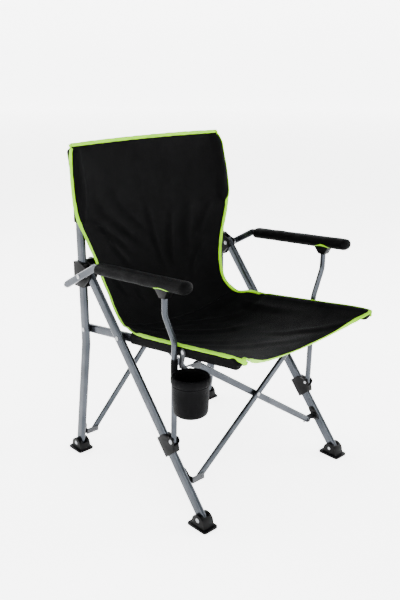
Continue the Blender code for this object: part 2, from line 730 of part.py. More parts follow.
def sling(bm, edge, belly, across, along):
    """A sheet between the mirrored side edges; `belly` moves its middle from the line between them."""
    def middle(u, v):
        side = spline(edge, v)
        return Vector((side.x * u, side.y, side.z)) + spline(belly, v) * (1 - abs(u) ** 2.4)

    def skin(level):
        rows = []
        for j in range(along + 1):
            v = j / along
            row = []
            for i in range(across + 1):
                u = 2 * i / across - 1
                du = middle(min(u + 0.02, 1), v) - middle(max(u - 0.02, -1), v)
                dv = middle(u, min(v + 0.02, 1)) - middle(u, max(v - 0.02, 0))
                row.append(bm.verts.new(middle(u, v) + du.cross(dv).normalized() * level))
            rows.append(row)
        return rows

    top, floor = skin(SHEET / 2), skin(-SHEET / 2)
    for j in range(along):
        for i in range(across):
            bm.faces.new([top[j][i], top[j][i + 1], top[j + 1][i + 1], top[j + 1][i]])
            bm.faces.new([floor[j + 1][i], floor[j + 1][i + 1], floor[j][i + 1], floor[j][i]])
    rim = [(j, 0) for j in range(along, 0, -1)] + [(0, i) for i in range(across)]
    rim += [(j, across) for j in range(along)] + [(along, i) for i in range(across, 0, -1)]
    for (j, i), (m, k) in zip(rim, rim[1:] + rim[:1]):
        bm.faces.new([top[j][i], floor[j][i], floor[m][k], top[m][k]])


def back_fabric(carrier):
    """Backrest sheet with a sleeve over the top of each upright."""
    bm = bmesh.new()
    sling(bm, BACK_EDGE, BACK_BELLY, 8, 9)
    obj = finish("back_fabric", bm, FABRIC, carrier)
    top = upright_path()
    low = at(UPRIGHT_X, (UPRIGHT_KINK[0], BACK_SLEEVE_LOW))
    sleeve = [low, *top[-5:-1], top[-1] - (top[-1] - top[-2]).normalized() * 0.006]
    channel = [low - Vector((0, 0, 0.01)), *upright_path(0.001)[-5:]]
    bore = (UPRIGHT[0] + 2 * GAP, UPRIGHT[1] + 2 * GAP)
    for _, side in SIDES:
        helper = bmesh.new()
        bar(helper, sleeve, BACK_SLEEVE, X_AXIS, rounded=(False, True), steps=5)
        join(obj, helper, side)
        helper = bmesh.new()
        bar(helper, channel, bore, X_AXIS, steps=4)
        cut(obj, helper, side)


def seat_fabric(carrier):
    """Seat sheet with a sleeve over the front part of each seat rail."""
    bm = bmesh.new()
    sling(bm, SEAT_EDGE, SEAT_BELLY, 8, 9)
    obj = finish("seat_fabric", bm, FABRIC, carrier)
    size = (RAIL[0] + 2 * SLEEVE_SKIN, RAIL[1] + 2 * SLEEVE_SKIN)
    bore = (RAIL[0] + 2 * GAP, RAIL[1] + 2 * GAP)
    for _, side in SIDES:
        helper = bmesh.new()
        bar(helper, rail_path(RAIL_FRONT_Y + 0.0035, SEAT_SLEEVE_REAR), size, X_AXIS, rounded=(True, False), steps=6)
        join(obj, helper, side)
        helper = bmesh.new()
        bar(helper, rail_path(RAIL_FRONT_Y - 0.001, SEAT_SLEEVE_REAR + 0.01), bore, X_AXIS, steps=5)
        cut(obj, helper, side)
        cut(obj, rod(at(0, SEAT_LINK_PIN), X_AXIS, RIVET_R + GAP, 0.2455, 0.26), side)


def cup_holder(carrier):
    """Fabric cup with a rolled rim."""
    roll = arc((CUP_RIM_R, CUP_RIM_Z), CUP_ROLL, -45, 225, 6)
    z = CUP_BOTTOM_Z
    outside = [(0, z), (0.031, z), (0.0385, z + 0.003), (0.0415, z + 0.011), (0.0455, z + 0.085)]
    inside = [(0.0425, z + 0.083), (0.0385, z + 0.012), (0.0360, z + 0.004), (0, z + 0.004)]
    bm = bmesh.new()
    turned(bm, Vector((*CUP_CENTRE, 0)), Vector((0, 0, 1)), outside + roll + inside, 18)
    finish("cup_holder", bm, FABRIC, carrier)


def cup_strap(carrier):
    """Webbing loop round the armrest support that carries the cup."""
    bm = bmesh.new()
    path = [support_point(LEG_X, z) for z in (0.352, 0.416)]
    size = SUPPORT_D + 0.0046
    tube(bm, path, (size, size), Y_AXIS, wall=0.002, steps=8)
    finish("cup_strap", bm, WEBBING, carrier, -1)


# ---------------------------------------------------------------- assembly


def build_side(name, side):
    """Every body of one side, each on an empty at its joint."""
    upright = body(f"upright_{name}", (side * UPRIGHT_X, 0, 0))
    rear_upright(side, name, upright)
    side_rivet(side, f"seat_pivot_rivet_{name}", upright, SEAT_PIVOT, UPRIGHT_X + 0.0078, RAIL_X - 0.0068)
    rear_face = UPRIGHT_X - UPRIGHT[1] / 2
    brace_ear("rear", side, name, upright, REAR_LOW, (0.3026, 0.078), rear_face)

    hub = body(f"hub_{name}", at(side * UPRIGHT_X, HUB_PIVOT))
    slider_hub(side, name, hub)

    leg = body(f"leg_{name}", at(side * LEG_X, HUB_PIVOT))
    front_leg(side, name, leg)
    hub_pivot(side, name, leg)
    side_rivet(side, f"rail_crossing_rivet_{name}", leg, crossing(), LEG_X + 0.0078, LEG_X - 0.0078)
    arm_clamp(side, name, leg)
    clamp = 0.0110
    side_rivet(side, f"arm_clamp_rivet_{name}", leg, SUPPORT_FOOT, LEG_X + clamp, LEG_X - clamp, radius=RIVET_R)
    arm_support_tube(side, name, leg)
    arm_saddle(side, name, leg)
    armrest_tube(side, name, leg)
    armrest_pad(side, name, leg)
    front_face = LEG_X - LEG[1] / 2
    brace_ear("front", side, name, leg, FRONT_LOW, leg_point(0.116), front_face)

    rail = body(f"rail_{name}", at(side * RAIL_X, SEAT_PIVOT))
    seat_rail(side, name, rail)
    link_outer = SEAT_LINK_X[1] + GAP
    rivet = f"seat_link_rivet_{name}"
    side_rivet(side, rivet, rail, SEAT_LINK_PIN, link_outer, RAIL_X + 0.0025, 0, RIVET_R, 0.0058)

    for end, pin, x, centre, size, lean in (
        ("rear", REAR_PIN, UPRIGHT_X, 0.3130, (0.059, 0.049), 99.2),
        ("front", FRONT_PIN, LEG_X, -0.2150, (0.066, 0.047), 48.2),
    ):
        carrier = body(f"{end}_foot_body_{name}", at(side * x, pin))
        foot(side, f"{end}_foot_{name}", carrier, pin, x, centre, *size, lean)
        side_rivet(side, f"{end}_foot_rivet_{name}", carrier, pin, x + 0.0173, x - 0.0173)

    for pair, low, high, face in (
        ("rear", REAR_LOW, REAR_HIGH, rear_face),
        ("front", FRONT_LOW, FRONT_HIGH, front_face),
    ):
        carrier = body(f"{pair}_link_{name}", (side * low.x, low.y, low.z))
        brace_link(pair, side, name, carrier, low, high, face)
        carrier = body(f"{pair}_brace_{name}", (side * low.x, low.y, low.z))
        brace_bar(pair, side, name, carrier, low, high)

    hanger = body(f"seat_link_{name}", at(side * RAIL_X, SEAT_LINK_PIN))
    seat_x_link(side, name, hanger)
    if side < 0:
        back_fabric(upright)
        seat_fabric(rail)
        cup_holder(leg)
        cup_strap(leg)


clear_scene()
for side_name, side_sign in SIDES:
    build_side(side_name, side_sign)
# The middle of the bounding box, front to back, stands on the origin
for root in bpy.data.objects:
    if not root.parent:
        root.location.y -= STAND_FORWARD
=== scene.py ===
"""Looks of the folding camp chair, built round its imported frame. Metres, +Z up, the sitter faces -Y.

Side pieces are drawn on the right (+X) and mirrored for the left. Points written (y, z) lie in a side
frame's plane. Everything is drawn STAND_FORWARD further back than it stands, as in the CAD model.
"""

import math

import bpy
import numpy as np
from mathutils import Matrix, Vector, noise


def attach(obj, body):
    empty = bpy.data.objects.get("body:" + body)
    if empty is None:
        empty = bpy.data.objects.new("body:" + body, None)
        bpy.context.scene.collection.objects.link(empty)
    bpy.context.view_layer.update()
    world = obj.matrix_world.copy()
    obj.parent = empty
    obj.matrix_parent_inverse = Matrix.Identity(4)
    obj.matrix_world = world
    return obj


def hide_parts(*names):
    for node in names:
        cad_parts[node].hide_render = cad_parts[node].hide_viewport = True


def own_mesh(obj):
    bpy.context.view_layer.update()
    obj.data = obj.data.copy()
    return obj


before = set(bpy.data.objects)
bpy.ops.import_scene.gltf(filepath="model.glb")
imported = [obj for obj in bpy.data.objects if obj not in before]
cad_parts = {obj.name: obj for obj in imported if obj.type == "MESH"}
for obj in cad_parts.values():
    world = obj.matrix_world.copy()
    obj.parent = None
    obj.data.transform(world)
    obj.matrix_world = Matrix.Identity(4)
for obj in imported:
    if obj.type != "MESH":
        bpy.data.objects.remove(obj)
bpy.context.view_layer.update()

SIDES = (("left", -1), ("right", 1))
X_AXIS = Vector((1, 0, 0))
Y_AXIS = Vector((0, 1, 0))

# Side frame, as in the CAD model
RAIL_X, UPRIGHT_X, LEG_X, ARMREST_X = 0.2415, 0.257, 0.260, 0.2905
UPRIGHT, LEG, RAIL, ARMREST = (0.030, 0.015), (0.030, 0.015), (0.025, 0.013), (0.020, 0.012)
BRACE, SUPPORT = (0.018, 0.010), (0.015, 0.015)
HUB_PIVOT, SEAT_PIVOT = (0.2215, 0.554), (0.259, 0.3885)
REAR_PIN, FRONT_PIN = (0.3117, 0.0220), (-0.2156, 0.0220)
UPRIGHT_KINK, UPRIGHT_BEND, UPRIGHT_TOP = (0.259, 0.347), (0.259, 0.775), (0.283, 0.862)
RAIL_RISE = 0.122
RAIL_FRONT_Y = -0.3040
UPRIGHT_LEAN_IN = 0.0055
STAND_FORWARD = 0.0075
ARM_TAIL, ARM_BEND, ARM_TIP = (0.2840, 0.5196), (0.1521, 0.5923), (-0.1900, 0.6165)
SUPPORT_TOP, SUPPORT_FOOT = (-0.1208, 0.5960), (-0.1110, 0.1940)
REAR_BRACE = (Vector((0.215, 0.306, 0.056)), Vector((0.224, 0.259, 0.578)))
FRONT_BRACE = (Vector((0.218, -0.155, 0.100)), Vector((0.199, -0.1345, 0.3887)))
# How far each brace lies off the middle plane of its pair
LAYER = 0.0054

# Side edge of the sling, from the seat's front corner round the crease to the top of the back
EDGE = (
    (0.2336, -0.3278, 0.4590),
    (0.2440, -0.3160, 0.4665),
    (0.2498, -0.2600, 0.4655),
    (0.2500, -0.1850, 0.4562),
    (0.2500, -0.1080, 0.4468),
    (0.2495, -0.0300, 0.4373),
    (0.2475, 0.0300, 0.4305),
    (0.2425, 0.0700, 0.4290),
    (0.2338, 0.1010, 0.4300),
    (0.2200, 0.1370, 0.4240),
    (0.2125, 0.1700, 0.4390),
    (0.2105, 0.1910, 0.4610),
    (0.2130, 0.2040, 0.4900),
    (0.2195, 0.2150, 0.5200),
    (0.2270, 0.2215, 0.5500),
    (0.2360, 0.2260, 0.5850),
    (0.2470, 0.2295, 0.6160),
    (0.2580, 0.2325, 0.6450),
    (0.2680, 0.2370, 0.6720),
    (0.2755, 0.2455, 0.7000),
    (0.2770, 0.2549, 0.7400),
    (0.2752, 0.2624, 0.7800),
    (0.2720, 0.2695, 0.8200),
    (0.2680, 0.2750, 0.8600),
    (0.2590, 0.2790, 0.8880),
)
# Counts along EDGE: the crease between seat and back, and the last point
CREASE, TOP = 11, len(EDGE) - 1
# Where the back's cloth ends and the seat's begins
SPLIT = 9.45
# How far the seat's side bindings run past the split, in counts
BINDING_LAP = 0.12
# How far (dy, dz) the middle of the sling hangs from the line between its side edges, at even steps of t
SEAT_BELLY = (
    (0.0675, -0.0560),
    (0.030, -0.058),
    (0.010, -0.062),
    (0.004, -0.062),
    (0.012, -0.052),
    (0.034, -0.032),
)
BACK_BELLY = ((0.034, -0.032), (0.036, -0.012), (0.034, 0.0), (0.026, 0.0), (0.012, 0.003))
# Sharpness of the sag across, and the share of the half width where the cloth leaves its edge
SAG, FREE_SHARE = 2.4, 0.93
# Where the cloth turns over a tube, from outside to inside: (dx, dy) from an upright, (dx, dz) from a rail
OVER_UPRIGHT = ((0.0105, -0.0235), (-0.0078, -0.0235), (-0.0200, -0.0090))
OVER_RAIL = ((0.0000, 0.0185), (-0.0065, 0.0175), (-0.0150, 0.0085))
# The back's sleeve flattens above the tube's end: heights between, and how much
FLATTEN_Z, FLATTEN = (0.866, 0.8870), 0.8
# Thickness of the sling and pads, of the back's sleeves and of the strap
SHEET, SLEEVE_SHEET, STRAP_SHEET = 0.0016, 0.0012, 0.0014
# Where the cloth closes in on its tube: heights on an upright, places along a rail
BACK_SLEEVE_Z = (0.672, 0.700)
SEAT_SLEEVE_Y = (0.066, 0.030)
# The right edge of the back turns further round its upright: the shift, where it starts and where it ends
RIGHT_EDGE_SHIFT = (-0.0015, -0.0105, 0.0)
RIGHT_SHIFT_Z, RIGHT_SHIFT_END_Z = (0.675, 0.715), (0.879, 0.850)
# For back and seat: an anchor X, and the share of the width that is kept
BACK_ANCHOR_X, BACK_KEEP = -0.251, 0.288
SEAT_ANCHOR_X, SEAT_KEEP = -0.235, 0.238


# ---------------------------------------------------------------- materials


def nodes_of(name):
    mat = bpy.data.materials.new(name)
    mat.use_nodes = True
    tree = mat.node_tree
    return mat, tree, tree.nodes["Principled BSDF"]


def add(tree, kind, inputs=None, **settings):
    """A node with its settings and inputs; an input may be a value or another node's output."""
    node = tree.nodes.new(kind)
    for key, value in settings.items():
        setattr(node, key, value)
    for key, value in (inputs or {}).items():
        if isinstance(value, bpy.types.NodeSocket):
            tree.links.new(value, node.inputs[key])
        else:
            node.inputs[key].default_value = value
    return node


def math_node(tree, operation, a, b=0.0):
    return add(tree, "ShaderNodeMath", {0: a, 1: b}, operation=operation).outputs[0]


def ramp(tree, value, low, high, colours):
    """The value between low and high as a colour between the two colours."""
    node = add(tree, "ShaderNodeValToRGB", {"Fac": value})
    for element, position, colour in zip(node.color_ramp.elements, (low, high), colours):
        element.position = position
        element.color = (*colour, 1)
    return node.outputs["Color"]


def spread(tree, value, low, high):
    return add(tree, "ShaderNodeMapRange", {"Value": value, "To Min": low, "To Max": high}).outputs["Result"]


def texture(tree, scale, detail, rough=0.55):
    """Noise in the piece's own coordinates, in metres."""
    coords = add(tree, "ShaderNodeTexCoord").outputs["Object"]
    inputs = {"Vector": coords, "Scale": scale, "Detail": detail, "Roughness": rough}
    return add(tree, "ShaderNodeTexNoise", inputs).outputs["Fac"]


def bump(tree, height, distance, strength, before=None):
    inputs = {"Height": height, "Distance": distance, "Strength": strength}
    if before:
        inputs["Normal"] = before
    return add(tree, "ShaderNodeBump", inputs).outputs["Normal"]


def threads(tree, pitch):
    """Plain weave over the UV map, which is in metres: 0 in the gaps, 1 on the crowns."""
    uv = add(tree, "ShaderNodeUVMap").outputs["UV"]
    parts = add(tree, "ShaderNodeSeparateXYZ", {"Vector": uv})
    waves = []
    for axis in ("X", "Y"):
        angle = math_node(tree, "MULTIPLY", parts.outputs[axis], 2 * math.pi / pitch)
        waves.append(math_node(tree, "SINE", angle))
    product = math_node(tree, "MULTIPLY", *waves)
    return math_node(tree, "MULTIPLY_ADD", product, 0.5)


def cloth(name, dark, light, pitch, roughness, creases=0.0012):
    """Woven cloth: thread crowns over gaps, faint shade changes and small soft creases."""
    mat, tree, shader = nodes_of(name)
    weave = threads(tree, pitch)
    patches = texture(tree, 9, 4)
    fine = texture(tree, 240, 2)
    uneven = (math_node(tree, "MULTIPLY", value, share) for value, share in ((patches, 0.6), (fine, 0.25)))
    shade = math_node(tree, "ADD", *uneven)
    shade = math_node(tree, "ADD", shade, math_node(tree, "MULTIPLY", weave, 0.3))
    tree.links.new(ramp(tree, shade, 0.35, 0.72, (dark, light)), shader.inputs["Base Color"])
    tree.links.new(spread(tree, patches, roughness - 0.08, roughness + 0.08), shader.inputs["Roughness"])
    soft = bump(tree, texture(tree, 34, 3, 0.5), creases, 0.7)
    tree.links.new(bump(tree, weave, 0.00022, 0.6, soft), shader.inputs["Normal"])
    shader.inputs["Specular IOR Level"].default_value = 0.04
    shader.inputs["Sheen Weight"].default_value = 0.02
    shader.inputs["Sheen Roughness"].default_value = 0.45
    shader.inputs["Sheen Tint"].default_value = (0.55, 0.58, 0.62, 1)
    return mat


# Binding tape: the ribs' spacing, the stitches' phase to a metre, and where the line of thread lies
RIB_PITCH, STITCH_PHASE = 0.0013, 1400
STITCH_LINE, THREAD, THREAD_GREEN = 0.0030, 0.0008, (0.20, 0.34, 0.02, 1)


def tape(name, dark, light):
    """Ribbed binding tape with a line of stitches near one edge; UV runs along and across it in metres."""
    mat, tree, shader = nodes_of(name)
    uv = add(tree, "ShaderNodeUVMap").outputs["UV"]
    parts = add(tree, "ShaderNodeSeparateXYZ", {"Vector": uv})
    along, across = parts.outputs["X"], parts.outputs["Y"]
    ribs = math_node(tree, "SINE", math_node(tree, "MULTIPLY", along, 2 * math.pi / RIB_PITCH))
    stitches = math_node(tree, "SINE", math_node(tree, "MULTIPLY", along, STITCH_PHASE))
    stitch = math_node(tree, "GREATER_THAN", stitches, -0.3)
    from_line = math_node(tree, "ABSOLUTE", math_node(tree, "SUBTRACT", across, STITCH_LINE))
    line = math_node(tree, "LESS_THAN", from_line, THREAD / 2)
    thread = math_node(tree, "MULTIPLY", stitch, line)
    patches = texture(tree, 28, 3)
    base = ramp(tree, patches, 0.3, 0.7, (dark, light))
    sewn = add(tree, "ShaderNodeMix", {"Factor": thread, 6: base, 7: THREAD_GREEN}, data_type="RGBA")
    tree.links.new(sewn.outputs[2], shader.inputs["Base Color"])
    height = math_node(tree, "SUBTRACT", math_node(tree, "MULTIPLY", ribs, 0.25), thread)
    soft = bump(tree, texture(tree, 120, 2), 0.0008, 0.5)
    tree.links.new(bump(tree, height, 0.0003, 0.6, soft), shader.inputs["Normal"])
    tree.links.new(spread(tree, patches, 0.55, 0.72), shader.inputs["Roughness"])
    shader.inputs["Specular IOR Level"].default_value = 0.35
    shader.inputs["Sheen Weight"].default_value = 0.1
    return mat


def metal(name, dark, light, roughness, metallic, grain, depth):
    """Coated or plated steel: slight shade changes, a fine grain, and dulled patches."""
    mat, tree, shader = nodes_of(name)
    patches = texture(tree, 14, 4)
    fine = texture(tree, grain, 3, 0.6)
    tree.links.new(ramp(tree, patches, 0.3, 0.7, (dark, light)), shader.inputs["Base Color"])
    halves = (math_node(tree, "MULTIPLY", value, 0.5) for value in (patches, fine))
    both = math_node(tree, "ADD", *halves)
    tree.links.new(spread(tree, both, roughness - 0.07, roughness + 0.10), shader.inputs["Roughness"])
    tree.links.new(bump(tree, fine, depth, 0.5), shader.inputs["Normal"])
    shader.inputs["Metallic"].default_value = metallic
    return mat


def moulded(name, dark, light, roughness):
    """Moulded plastic: fine spark-eroded grain and slightly scuffed patches."""
    mat, tree, shader = nodes_of(name)
    scuffs = texture(tree, 45, 5, 0.65)
    grain = texture(tree, 1100, 2)
    tree.links.new(ramp(tree, scuffs, 0.4, 0.8, (dark, light)), shader.inputs["Base Color"])
    tree.links.new(spread(tree, scuffs, roughness - 0.1, roughness + 0.12), shader.inputs["Roughness"])
    tree.links.new(bump(tree, grain, 0.00012, 0.6), shader.inputs["Normal"])
    shader.inputs["Specular IOR Level"].default_value = 0.12
    return mat


BLACK, SOFT_BLACK = (0.0008, 0.0008, 0.0009), (0.0034, 0.0034, 0.0036)
DEEP_GREY, DARK_GREY = (0.0015, 0.0015, 0.0017), (0.0055, 0.0055, 0.0060)
CLOTH = cloth("sling_cloth", BLACK, (0.0036, 0.0037, 0.0039), 0.0012, 0.62)
PAD_CLOTH = cloth("pad_cloth", BLACK, SOFT_BLACK, 0.0009, 0.55, 0.0010)
CUP_CLOTH = cloth("cup_cloth", (0.0010, 0.0010, 0.0012), (0.0040, 0.0040, 0.0044), 0.0010, 0.50, 0.0018)
WEBBING = cloth("strap_webbing", DEEP_GREY, DARK_GREY, 0.0022, 0.60, 0.0004)
GREEN = tape("green_tape", (0.155, 0.36, 0.002), (0.21, 0.45, 0.004))
STEEL = metal("coated_steel", (0.032, 0.036, 0.042), (0.060, 0.065, 0.074), 0.21, 0.80, 520, 0.00010)
ZINC = metal("zinc_plate", (0.20, 0.205, 0.215), (0.32, 0.325, 0.335), 0.28, 1.0, 800, 0.00008)
PLASTIC = moulded("black_plastic", DEEP_GREY, DARK_GREY, 0.38)
SOLE = moulded("foot_plastic", DEEP_GREY, DARK_GREY, 0.42)
LINK = metal("dark_zinc", (0.030, 0.031, 0.034), (0.060, 0.062, 0.066), 0.34, 0.85, 600, 0.00010)


# ---------------------------------------------------------------- shapes


def at(x, point):
    return Vector((x, point[0], point[1]))


def smooth(value, low, high):
    """0 below low, 1 above high, with a soft step between; low may be the larger."""
    t = np.clip((value - low) / (high - low), 0, 1)
    return t * t * (3 - 2 * t)


def curve_at(points, t):
    """Catmull-Rom through the points; t counts points from 0. Returns one row for each t."""
    p = np.asarray(points, float)
    t = np.atleast_1d(t)
    i = np.clip(t.astype(int), 0, len(p) - 2)
    f = (t - i)[:, None]
    a, b, c, d = (p[np.clip(i + k, 0, len(p) - 1)] for k in (-1, 0, 1, 2))
    return 0.5 * (2 * b + (c - a) * f + (2 * a - 5 * b + 4 * c - d) * f**2 + (3 * b - a - 3 * c + d) * f**3)


def fillet(points, radius, steps=10):
    """The polyline with each inner corner rounded."""
    path = [points[0]]
    for before, corner, after in zip(points, points[1:], points[2:]):
        a, b = (before - corner).normalized(), (after - corner).normalized()
        half = a.angle(b) / 2
        centre = corner + (a + b).normalized() * (radius / math.sin(half))
        start = corner + a * (radius / math.tan(half)) - centre
        axis = start.cross(corner + b * (radius / math.tan(half)) - centre)
        turn = math.pi - 2 * half
        path += [centre + Matrix.Rotation(turn * i / steps, 3, axis) @ start for i in range(steps + 1)]
    return path + [points[-1]]


def oval(depth, thickness, steps=12):
    """Flat oval section: (along the depth, along the thickness)."""
    r = thickness / 2
    reach = depth / 2 - r
    turns = [math.pi * (i / steps - 0.5) for i in range(steps + 1)]
    ends = [(reach + r * math.cos(t), r * math.sin(t)) for t in turns]
    return ends + [(-a, -b) for a, b in ends]


CREASE_ANGLE = math.radians(50)


def build(name, points, faces, look, uv=None, side=1):
    """A smooth-shaded mesh object; the left side is the mirror image."""
    points = np.array(points, float)
    if side < 0:
        points[:, 0] *= -1
        faces = [face[::-1] for face in faces]
    points[:, 1] -= STAND_FORWARD
    mesh = bpy.data.meshes.new(name)
    mesh.from_pydata(points.tolist(), [], faces)
    mesh.shade_smooth()
    mesh.set_sharp_from_angle(angle=CREASE_ANGLE)
    if uv is not None:
        layer = mesh.uv_layers.new(name="UVMap")
        index = np.zeros(len(mesh.loops), int)
        mesh.loops.foreach_get("vertex_index", index)
        layer.data.foreach_set("uv", np.asarray(uv, float)[index].ravel())
    obj = bpy.data.objects.new(name, mesh)
    bpy.context.scene.collection.objects.link(obj)
    obj.data.materials.append(look)
    return obj


def ring_faces(rings, count, first=0, closed=True):
    """Quads between neighbouring rings of `count` points each."""
    faces = []
    for r in range(rings - 1):
        for i in range(count if closed else count - 1):
            a, b = first + r * count + i, first + r * count + (i + 1) % count
            faces.append([a, b, b + count, a + count])
    return faces


def skin(name, rings, look, side=1, uv=None):
    """A closed-section skin over rings of points, capped at both ends."""
    rings = np.asarray(rings, float)
    count = rings.shape[1]
    faces = ring_faces(len(rings), count)
    last = (len(rings) - 1) * count
    faces += [list(range(count))[::-1], [last + i for i in range(count)]]
    return build(name, rings.reshape(-1, 3), faces, look, uv, side)


# Degrees at which a blunt end is drawn
CAP_STEPS = (12, 25, 38, 50, 62, 73, 83)


def sweep_rings(path, size, across, rounded):
    """Rings of a flat-oval tube along a path, with blunt round ends where asked."""
    section = oval(*size)
    tangents = [(b - a).normalized() for a, b in zip(path, path[1:])]
    marks = []
    for i, point in enumerate(path):
        before, after = tangents[max(i - 1, 0)], tangents[min(i, len(tangents) - 1)]
        tangent = (before + after).normalized()
        marks.append((point, tangent, across.cross(tangent).normalized(), 1 / tangent.dot(after)))
    for end in (0, 1):
        if not rounded[end]:
            continue
        point, tangent, depth, _ = marks[-end]
        away = tangent * (size[0] / 2 if end else -size[0] / 2)
        turns = [math.radians(a) for a in CAP_STEPS]
        caps = [(point + away * math.sin(t), tangent, depth, math.cos(t)) for t in turns]
        marks = marks + caps if end else caps[::-1] + marks
    rings = []
    for point, tangent, depth, scale in marks:
        side = tangent.cross(depth)
        rings.append([point + depth * a * scale + side * b for a, b in section])
    return rings


def finish(obj, body, slot, *nodes):
    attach(obj, body)
    if nodes:
        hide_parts(*nodes)
    return obj


# ---------------------------------------------------------------- steel tubes


UPRIGHT_BEND_R, SUPPORT_BEND_R, ARM_BEND_R = 0.09, 0.055, 0.018


def upright_path(extra=0.0):
    top, bend = at(-UPRIGHT_LEAN_IN, UPRIGHT_TOP), at(0, UPRIGHT_BEND)
    top += (top - bend).normalized() * extra
    corners = [at(0, REAR_PIN), at(0, UPRIGHT_KINK), bend, top]
    return [p + X_AXIS * UPRIGHT_X for p in fillet(corners, UPRIGHT_BEND_R)]


def rail_z(y):
    return SEAT_PIVOT[1] + RAIL_RISE * (SEAT_PIVOT[0] - y)


# Heights where the armrest support leaves the leg's plane and where it reaches the armrest's
SUPPORT_BENDS_Z = (0.458, 0.535)


def support_path():
    def level(x, z):
        share = (z - SUPPORT_FOOT[1]) / (SUPPORT_TOP[1] - SUPPORT_FOOT[1])
        return at(x, (SUPPORT_FOOT[0] + (SUPPORT_TOP[0] - SUPPORT_FOOT[0]) * share, z))

    low, high = SUPPORT_BENDS_Z
    corners = [at(LEG_X, SUPPORT_FOOT), level(LEG_X, low), level(ARMREST_X, high), at(ARMREST_X, SUPPORT_TOP)]
    return fillet(corners, SUPPORT_BEND_R)


def brace_line(low, high, side):
    """Lower and upper pivot of the brace that starts on `side`, in its own layer."""
    up = ((high - low) * Vector((0, 1, 1))).normalized()
    shift = up.cross(X_AXIS) * side * LAYER
    return Vector((low.x * side, low.y, low.z)) + shift, Vector((-high.x * side, high.y, high.z)) + shift


def tubes(name, side):
    rail_rear = at(RAIL_X, SEAT_PIVOT)
    rail_front = at(RAIL_X, (RAIL_FRONT_Y, rail_z(RAIL_FRONT_Y)))
    arm = fillet([at(ARMREST_X, p) for p in (ARM_TAIL, ARM_BEND, ARM_TIP)], ARM_BEND_R)
    plan = (
        ("rear_upright", "upright", upright_path(), UPRIGHT, (True, False)),
        ("front_leg", "leg", [at(LEG_X, FRONT_PIN), at(LEG_X, HUB_PIVOT)], LEG, (True, True)),
        ("seat_rail", "rail", [rail_front, rail_rear], RAIL, (False, True)),
        ("armrest_tube", "leg", arm, ARMREST, (True, False)),
        ("arm_support_tube", "leg", support_path(), SUPPORT, (True, False)),
    )
    for node, body, path, size, rounded in plan:
        rings = sweep_rings(path, size, X_AXIS, rounded)
        finish(skin(f"{node}_{name}_steel", rings, STEEL, side), f"{body}_{name}", "steel", f"{node}_{name}")
    for pair, (low, high) in (("rear", REAR_BRACE), ("front", FRONT_BRACE)):
        start, end = brace_line(low, high, side)
        up = ((high - low) * Vector((0, 1, 1))).normalized()
        rings = sweep_rings([start, end], BRACE, up.cross(X_AXIS), (True, True))
        node = f"{pair}_x_bar_{name}"
        finish(skin(f"{node}_steel", rings, STEEL), f"{pair}_brace_{name}", "steel", node)


# ---------------------------------------------------------------- sling


def belly(t):
    """Offset (dy, dz) of the sling's middle, t counting the edge's points."""
    seat_share = np.clip(t / CREASE, 0, 1)
    back_share = np.clip((t - CREASE) / (TOP - CREASE), 0, 1)
    seat = curve_at([(0, *b) for b in SEAT_BELLY], seat_share * (len(SEAT_BELLY) - 1))
    back = curve_at([(0, *b) for b in BACK_BELLY], back_share * (len(BACK_BELLY) - 1))
    return np.where((t < CREASE)[:, None], seat, back)


def upright_centre(z):
    """The upright's centre at each height, as x and y."""
    path = np.array(upright_path(0.04))
    return np.interp(z, path[:, 2], path[:, 0]), np.interp(z, path[:, 2], path[:, 1])


def right_lead(z):
    """How far the back's right edge sits ahead of its left one, where it turns round its upright."""
    share = smooth(z, *RIGHT_SHIFT_Z) * smooth(z, *RIGHT_SHIFT_END_Z)
    return share[:, None] * np.array(RIGHT_EDGE_SHIFT)


def sleeve_turn(t):
    """For each t: the share of sleeve, and the three points that lead the cloth over its tube."""
    edge = curve_at(EDGE, t)
    free = edge + belly(t) * (1 - FREE_SHARE**SAG)
    free[:, 0] = edge[:, 0] * FREE_SHARE
    lead = [edge + (free - edge) * share for share in (0.33, 0.67, 1.0)]
    back = (t > CREASE)[:, None]
    z, y = edge[:, 2], edge[:, 1]
    (tube_x, tube_y), tube_z = upright_centre(z), rail_z(y)
    share = np.where(t > CREASE, smooth(z, *BACK_SLEEVE_Z), smooth(y, *SEAT_SLEEVE_Y))[:, None]
    flat = 1 - FLATTEN * smooth(z, *FLATTEN_Z)
    over_upright = [(tube_x + dx, tube_y + dy * flat) for dx, dy in OVER_UPRIGHT]
    over_rail = [(RAIL_X + dx, tube_z + dz) for dx, dz in OVER_RAIL]
    blended = []
    for free_point, (ux, uy), (rx, rz) in zip(lead, over_upright, over_rail):
        on_upright = np.stack([ux, uy, z], 1)
        on_rail = np.stack([np.full_like(z, rx), y, rz], 1)
        tube_point = np.where(back, on_upright, on_rail)
        blended.append(free_point + (tube_point - free_point) * share)
    return edge, blended


